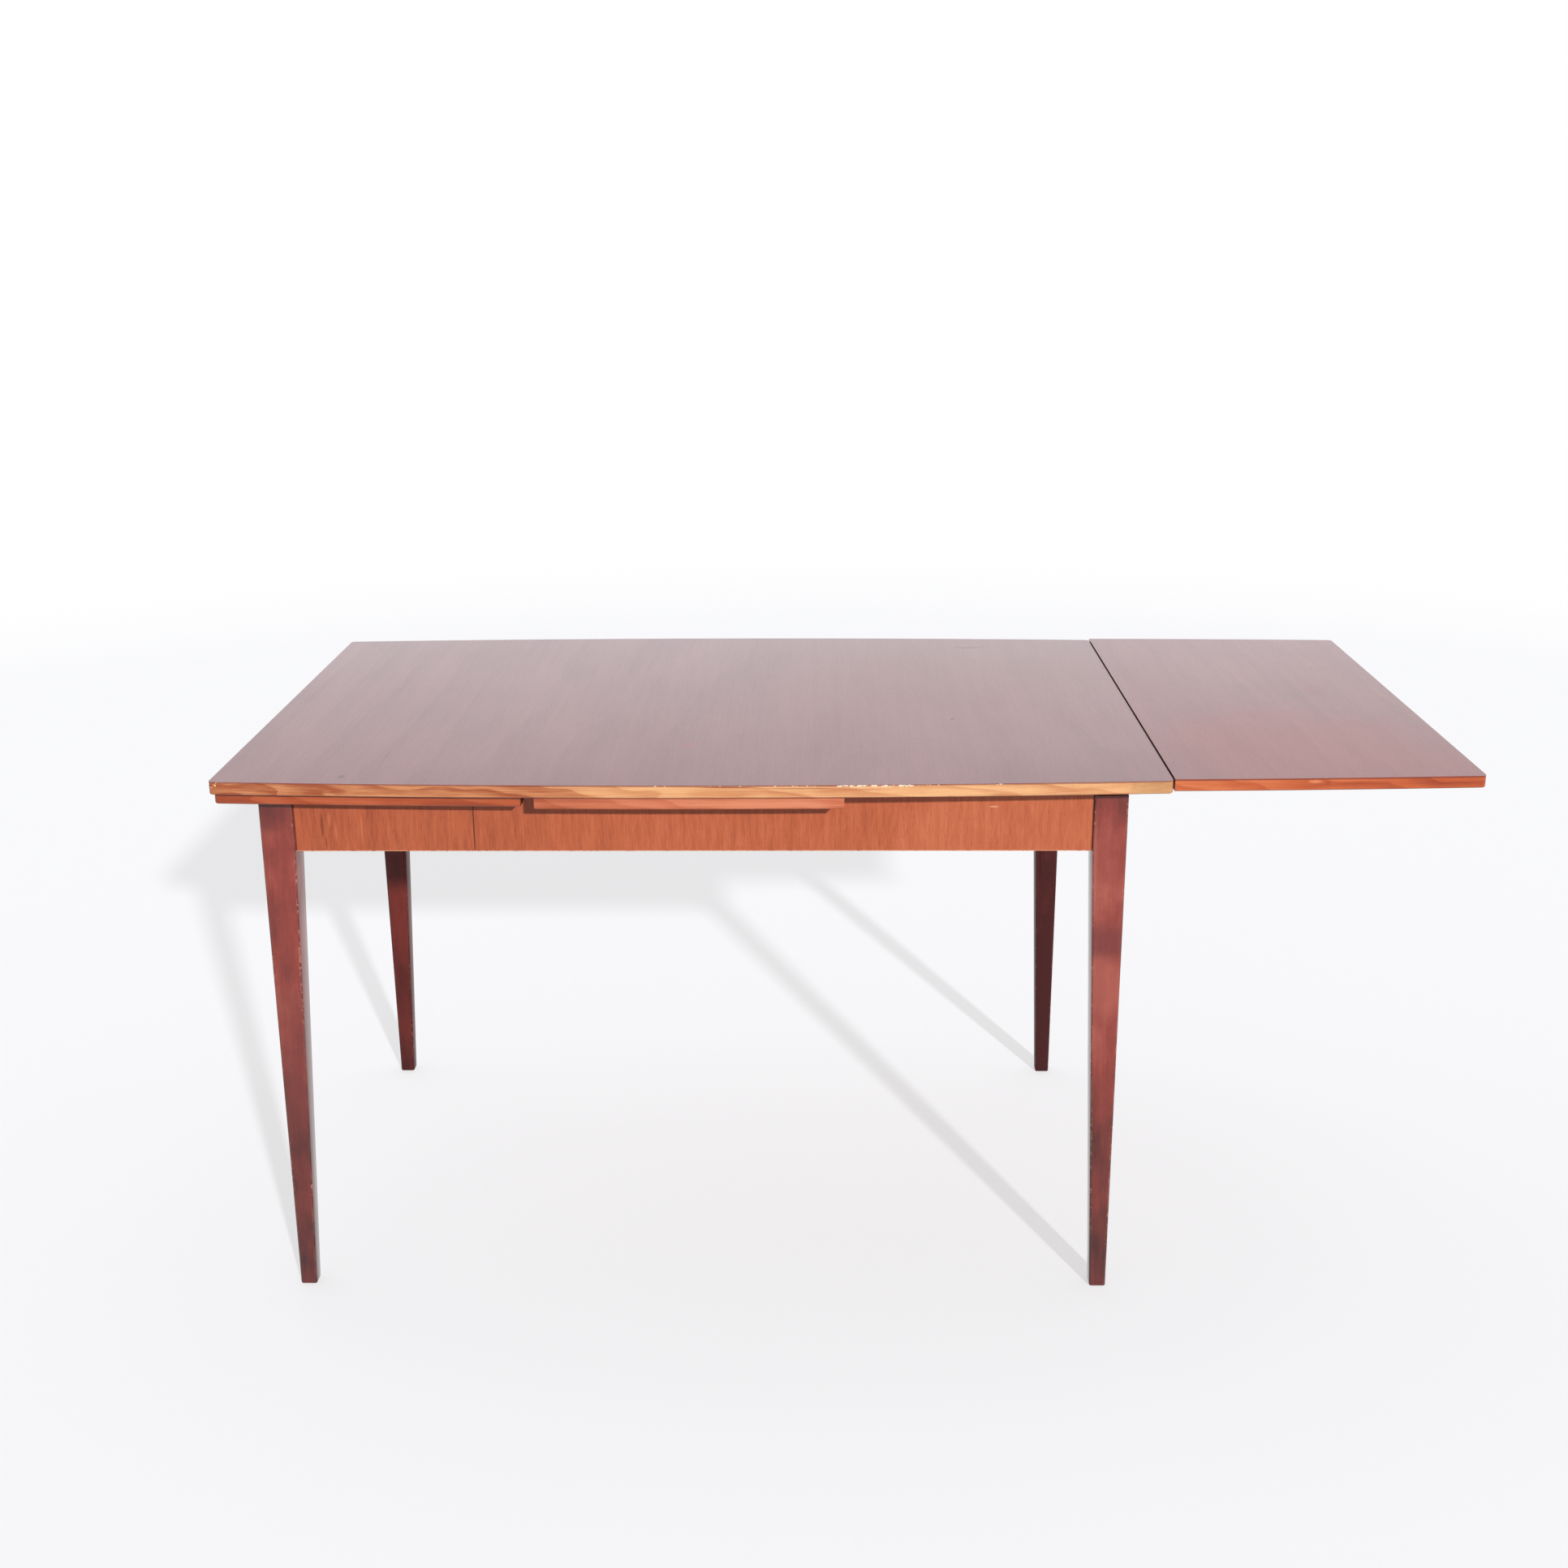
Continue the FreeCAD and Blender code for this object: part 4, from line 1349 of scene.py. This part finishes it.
@dataclass
class CentreBoard(Assembly):
    """The fixed board under the top, with its lippings and screws."""

    def dress(self) -> None:
        """Finish the board, its lippings and its screws."""
        self.paint("centre_board", BOARD)
        self.paint("centre_board_lipping_front", BOARD_LIPPING)
        self.paint("centre_board_lipping_rear", BOARD_LIPPING)
        Screws(self.nodes, "centre_board_screws", "frame").dress()


@dataclass
class LooseTop(Assembly):
    """The boat-shaped top and its guide pegs."""

    def dress(self) -> None:
        """Varnish the veneer and the lippings, and leave core and pegs plain."""
        self.paint("top_core", BOARD)
        self.paint("top_veneer", TOP_VENEER)
        for end in ENDS:
            self.paint(f"top_lipping_{end}", TOP_LIPPING)
            self.paint(f"guide_peg_{end}", PEG)
        self.paint("top_lipping_left", TOP_END_LIPPING)
        # The right end faces into the seam beside the right leaf and gets the painted shade
        self.paint("top_lipping_right", SHADED_GAP_LIPPING)


@dataclass
class DrawLeaf(Assembly):
    """One draw leaf with its runners, stops and screws."""

    side: str
    rides_on: str

    def dress(self) -> None:
        """Varnish the leaf and leave its runners plain."""
        prefix = f"{self.side}_leaf"
        self.paint(f"{prefix}_core", BOARD)
        self.paint(f"{prefix}_veneer", LEAF_VENEER)
        # The stowed left leaf gets the darker lipping, which is painted shade
        lipping = SHADED_LEFT_LEAF_LIPPING if self.side == "left" else LEAF_LIPPING
        for end in ENDS:
            self.paint(f"{prefix}_lipping_{end}", lipping)
            self.paint(f"{prefix}_runner_{end}", RUNNER)
            self.paint(f"{prefix}_stop_{end}", RUNNER)
        # The inner end, facing the seam on the right and the slot on the left, gets the painted
        # shade
        self.paint(f"{prefix}_lipping_inner", SHADED_GAP_LIPPING)
        self.paint(f"{prefix}_lipping_outer", LEAF_END_LIPPING)
        Screws(self.nodes, f"{prefix}_screws", self.rides_on).dress()


# Floor, light and camera


@dataclass
class Studio:
    """A pale floor that fades to white, soft light from all round and one soft key lamp.

    The strengths of the sky, and of the sky that shows in glossy surfaces, are those of the front
    and of the rear.
    """

    floor_reach: float = 16.0
    floor_colour: Colour = (0.94, 0.945, 1.0)
    floor_glow: float = 0.5
    floor_white: float = 0.58
    fade_from: float = 2.0
    fade_to: float = 5.5
    sky: Pair = (0.32, 0.80)
    mirrored_sky: Pair = (0.55, 1.0)
    mirrored_colour: Colour = (0.965, 0.97, 1.0)
    front_to_rear: Pair = (-0.4, 0.4)
    key_strength: float = 3.1
    key_height: float = math.radians(22)
    key_swing: float = math.radians(22)
    key_softness: float = math.radians(2.0)
    key_distance: float = 5.0

    def build(self) -> None:
        """Build the floor, the surrounding light and the key lamp."""
        self.build_floor()
        self.build_surround()
        self.build_key()

    def build_floor(self) -> None:
        """Lay the floor and let the camera see it fade to white far from the table."""
        sheet = bmesh.new()
        bmesh.ops.create_grid(sheet, x_segments=1, y_segments=1, size=self.floor_reach)
        floor = to_scene("floor", sheet)
        shader = Shader("floor_paint")
        x, y, _ = shader.here
        far = (x * x + y * y).root().rise(self.fade_from, self.fade_to).most(self.floor_white)
        shown = shader.ray("Is Camera Ray", "Is Glossy Ray", "Is Transmission Ray")
        dim = tuple(self.floor_glow * part for part in self.floor_colour)
        colour = shader.blend(shown, dim, self.floor_colour)
        paint = shader.node("ShaderNodeBsdfDiffuse", None, {"Color": colour})
        white = shader.node("ShaderNodeEmission", None, {"Color": WHITE, "Strength": 1.0})
        shader.show(shader.mix(far * shown, paint, white))
        floor.data.materials.append(shader.material)

    def build_surround(self) -> None:
        """Light the front a little less than the rear, and show plain white to the camera.

        The key lamp lights the front, so that the shadows under the top stay deep there.
        """
        surround = Surround("surround")
        behind = surround.place("Generated")[1].rise(*self.front_to_rear)
        light = surround.fade(behind, WHITE, self.sky)
        mirrored = surround.fade(behind, self.mirrored_colour, self.mirrored_sky)
        lit = surround.mix(surround.ray("Is Glossy Ray", "Is Transmission Ray"), light, mirrored)
        white = surround.background(WHITE, 1.0)
        surround.show(surround.mix(surround.ray("Is Camera Ray"), lit, white))
        bpy.context.scene.world = surround.world

    def build_key(self) -> None:
        """Hang the key lamp far off to the front right, like the lamp of the photograph.

        Glossy surfaces mirror the white surround alone, so the lamp leaves no glare on the top.
        """
        lamp = bpy.data.lights.new("key", "SUN")
        lamp.energy = self.key_strength
        lamp.angle = self.key_softness
        key = bpy.data.objects.new("key", lamp)
        level, up = math.cos(self.key_height), math.sin(self.key_height)
        across, ahead = math.sin(self.key_swing), -math.cos(self.key_swing)
        towards = Vector((across * level, ahead * level, up))
        key.location = towards * self.key_distance
        key.rotation_euler = (-towards).to_track_quat("-Z", "Y").to_euler()
        key.visible_glossy = False
        bpy.context.scene.collection.objects.link(key)


@dataclass
class Photographer:
    """The camera, where the photograph was taken from."""

    place: Point = (-0.03835, -2.7025, 1.4572)
    lens: float = 43.962
    sensor: float = 36.0
    yaw: float = -0.0171
    pitch: float = 0.299
    roll: float = -0.0062
    nearest: float = 0.05
    farthest: float = 60.0

    def build(self) -> None:
        """Set up the camera and the plain colour handling."""
        data = bpy.data.cameras.new("camera")
        data.lens = self.lens
        data.sensor_fit = "HORIZONTAL"
        data.sensor_width = self.sensor
        data.clip_start = self.nearest
        data.clip_end = self.farthest
        camera = bpy.data.objects.new("camera", data)
        bpy.context.scene.collection.objects.link(camera)
        level, down = math.cos(self.pitch), -math.sin(self.pitch)
        across, along = math.sin(self.yaw), math.cos(self.yaw)
        ahead = Vector((across * level, along * level, down))
        right = Vector((along, -across, 0.0))
        up = right.cross(ahead)
        turned_right = right * math.cos(self.roll) + up * math.sin(self.roll)
        turned_up = up * math.cos(self.roll) - right * math.sin(self.roll)
        turn = Matrix((turned_right, turned_up, -ahead)).transposed().to_4x4()
        camera.matrix_world = Matrix.Translation(Vector(self.place)) @ turn
        scene = bpy.context.scene
        scene.camera = camera
        scene.view_settings.view_transform = "Standard"


def main() -> None:
    """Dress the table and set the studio."""
    logging.basicConfig(level=logging.INFO, format="%(message)s")
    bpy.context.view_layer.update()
    nodes = frame["nodes"]
    groups: list[Assembly] = [
        Underframe(nodes),
        CentreBoard(nodes),
        LooseTop(nodes),
        DrawLeaf(nodes, side="left", rides_on="left_leaf"),
        DrawLeaf(nodes, side="right", rides_on="frame"),
    ]
    for group in groups:
        group.dress()
    Studio().build()
    Photographer().build()


if __name__ == "__main__":
    main()
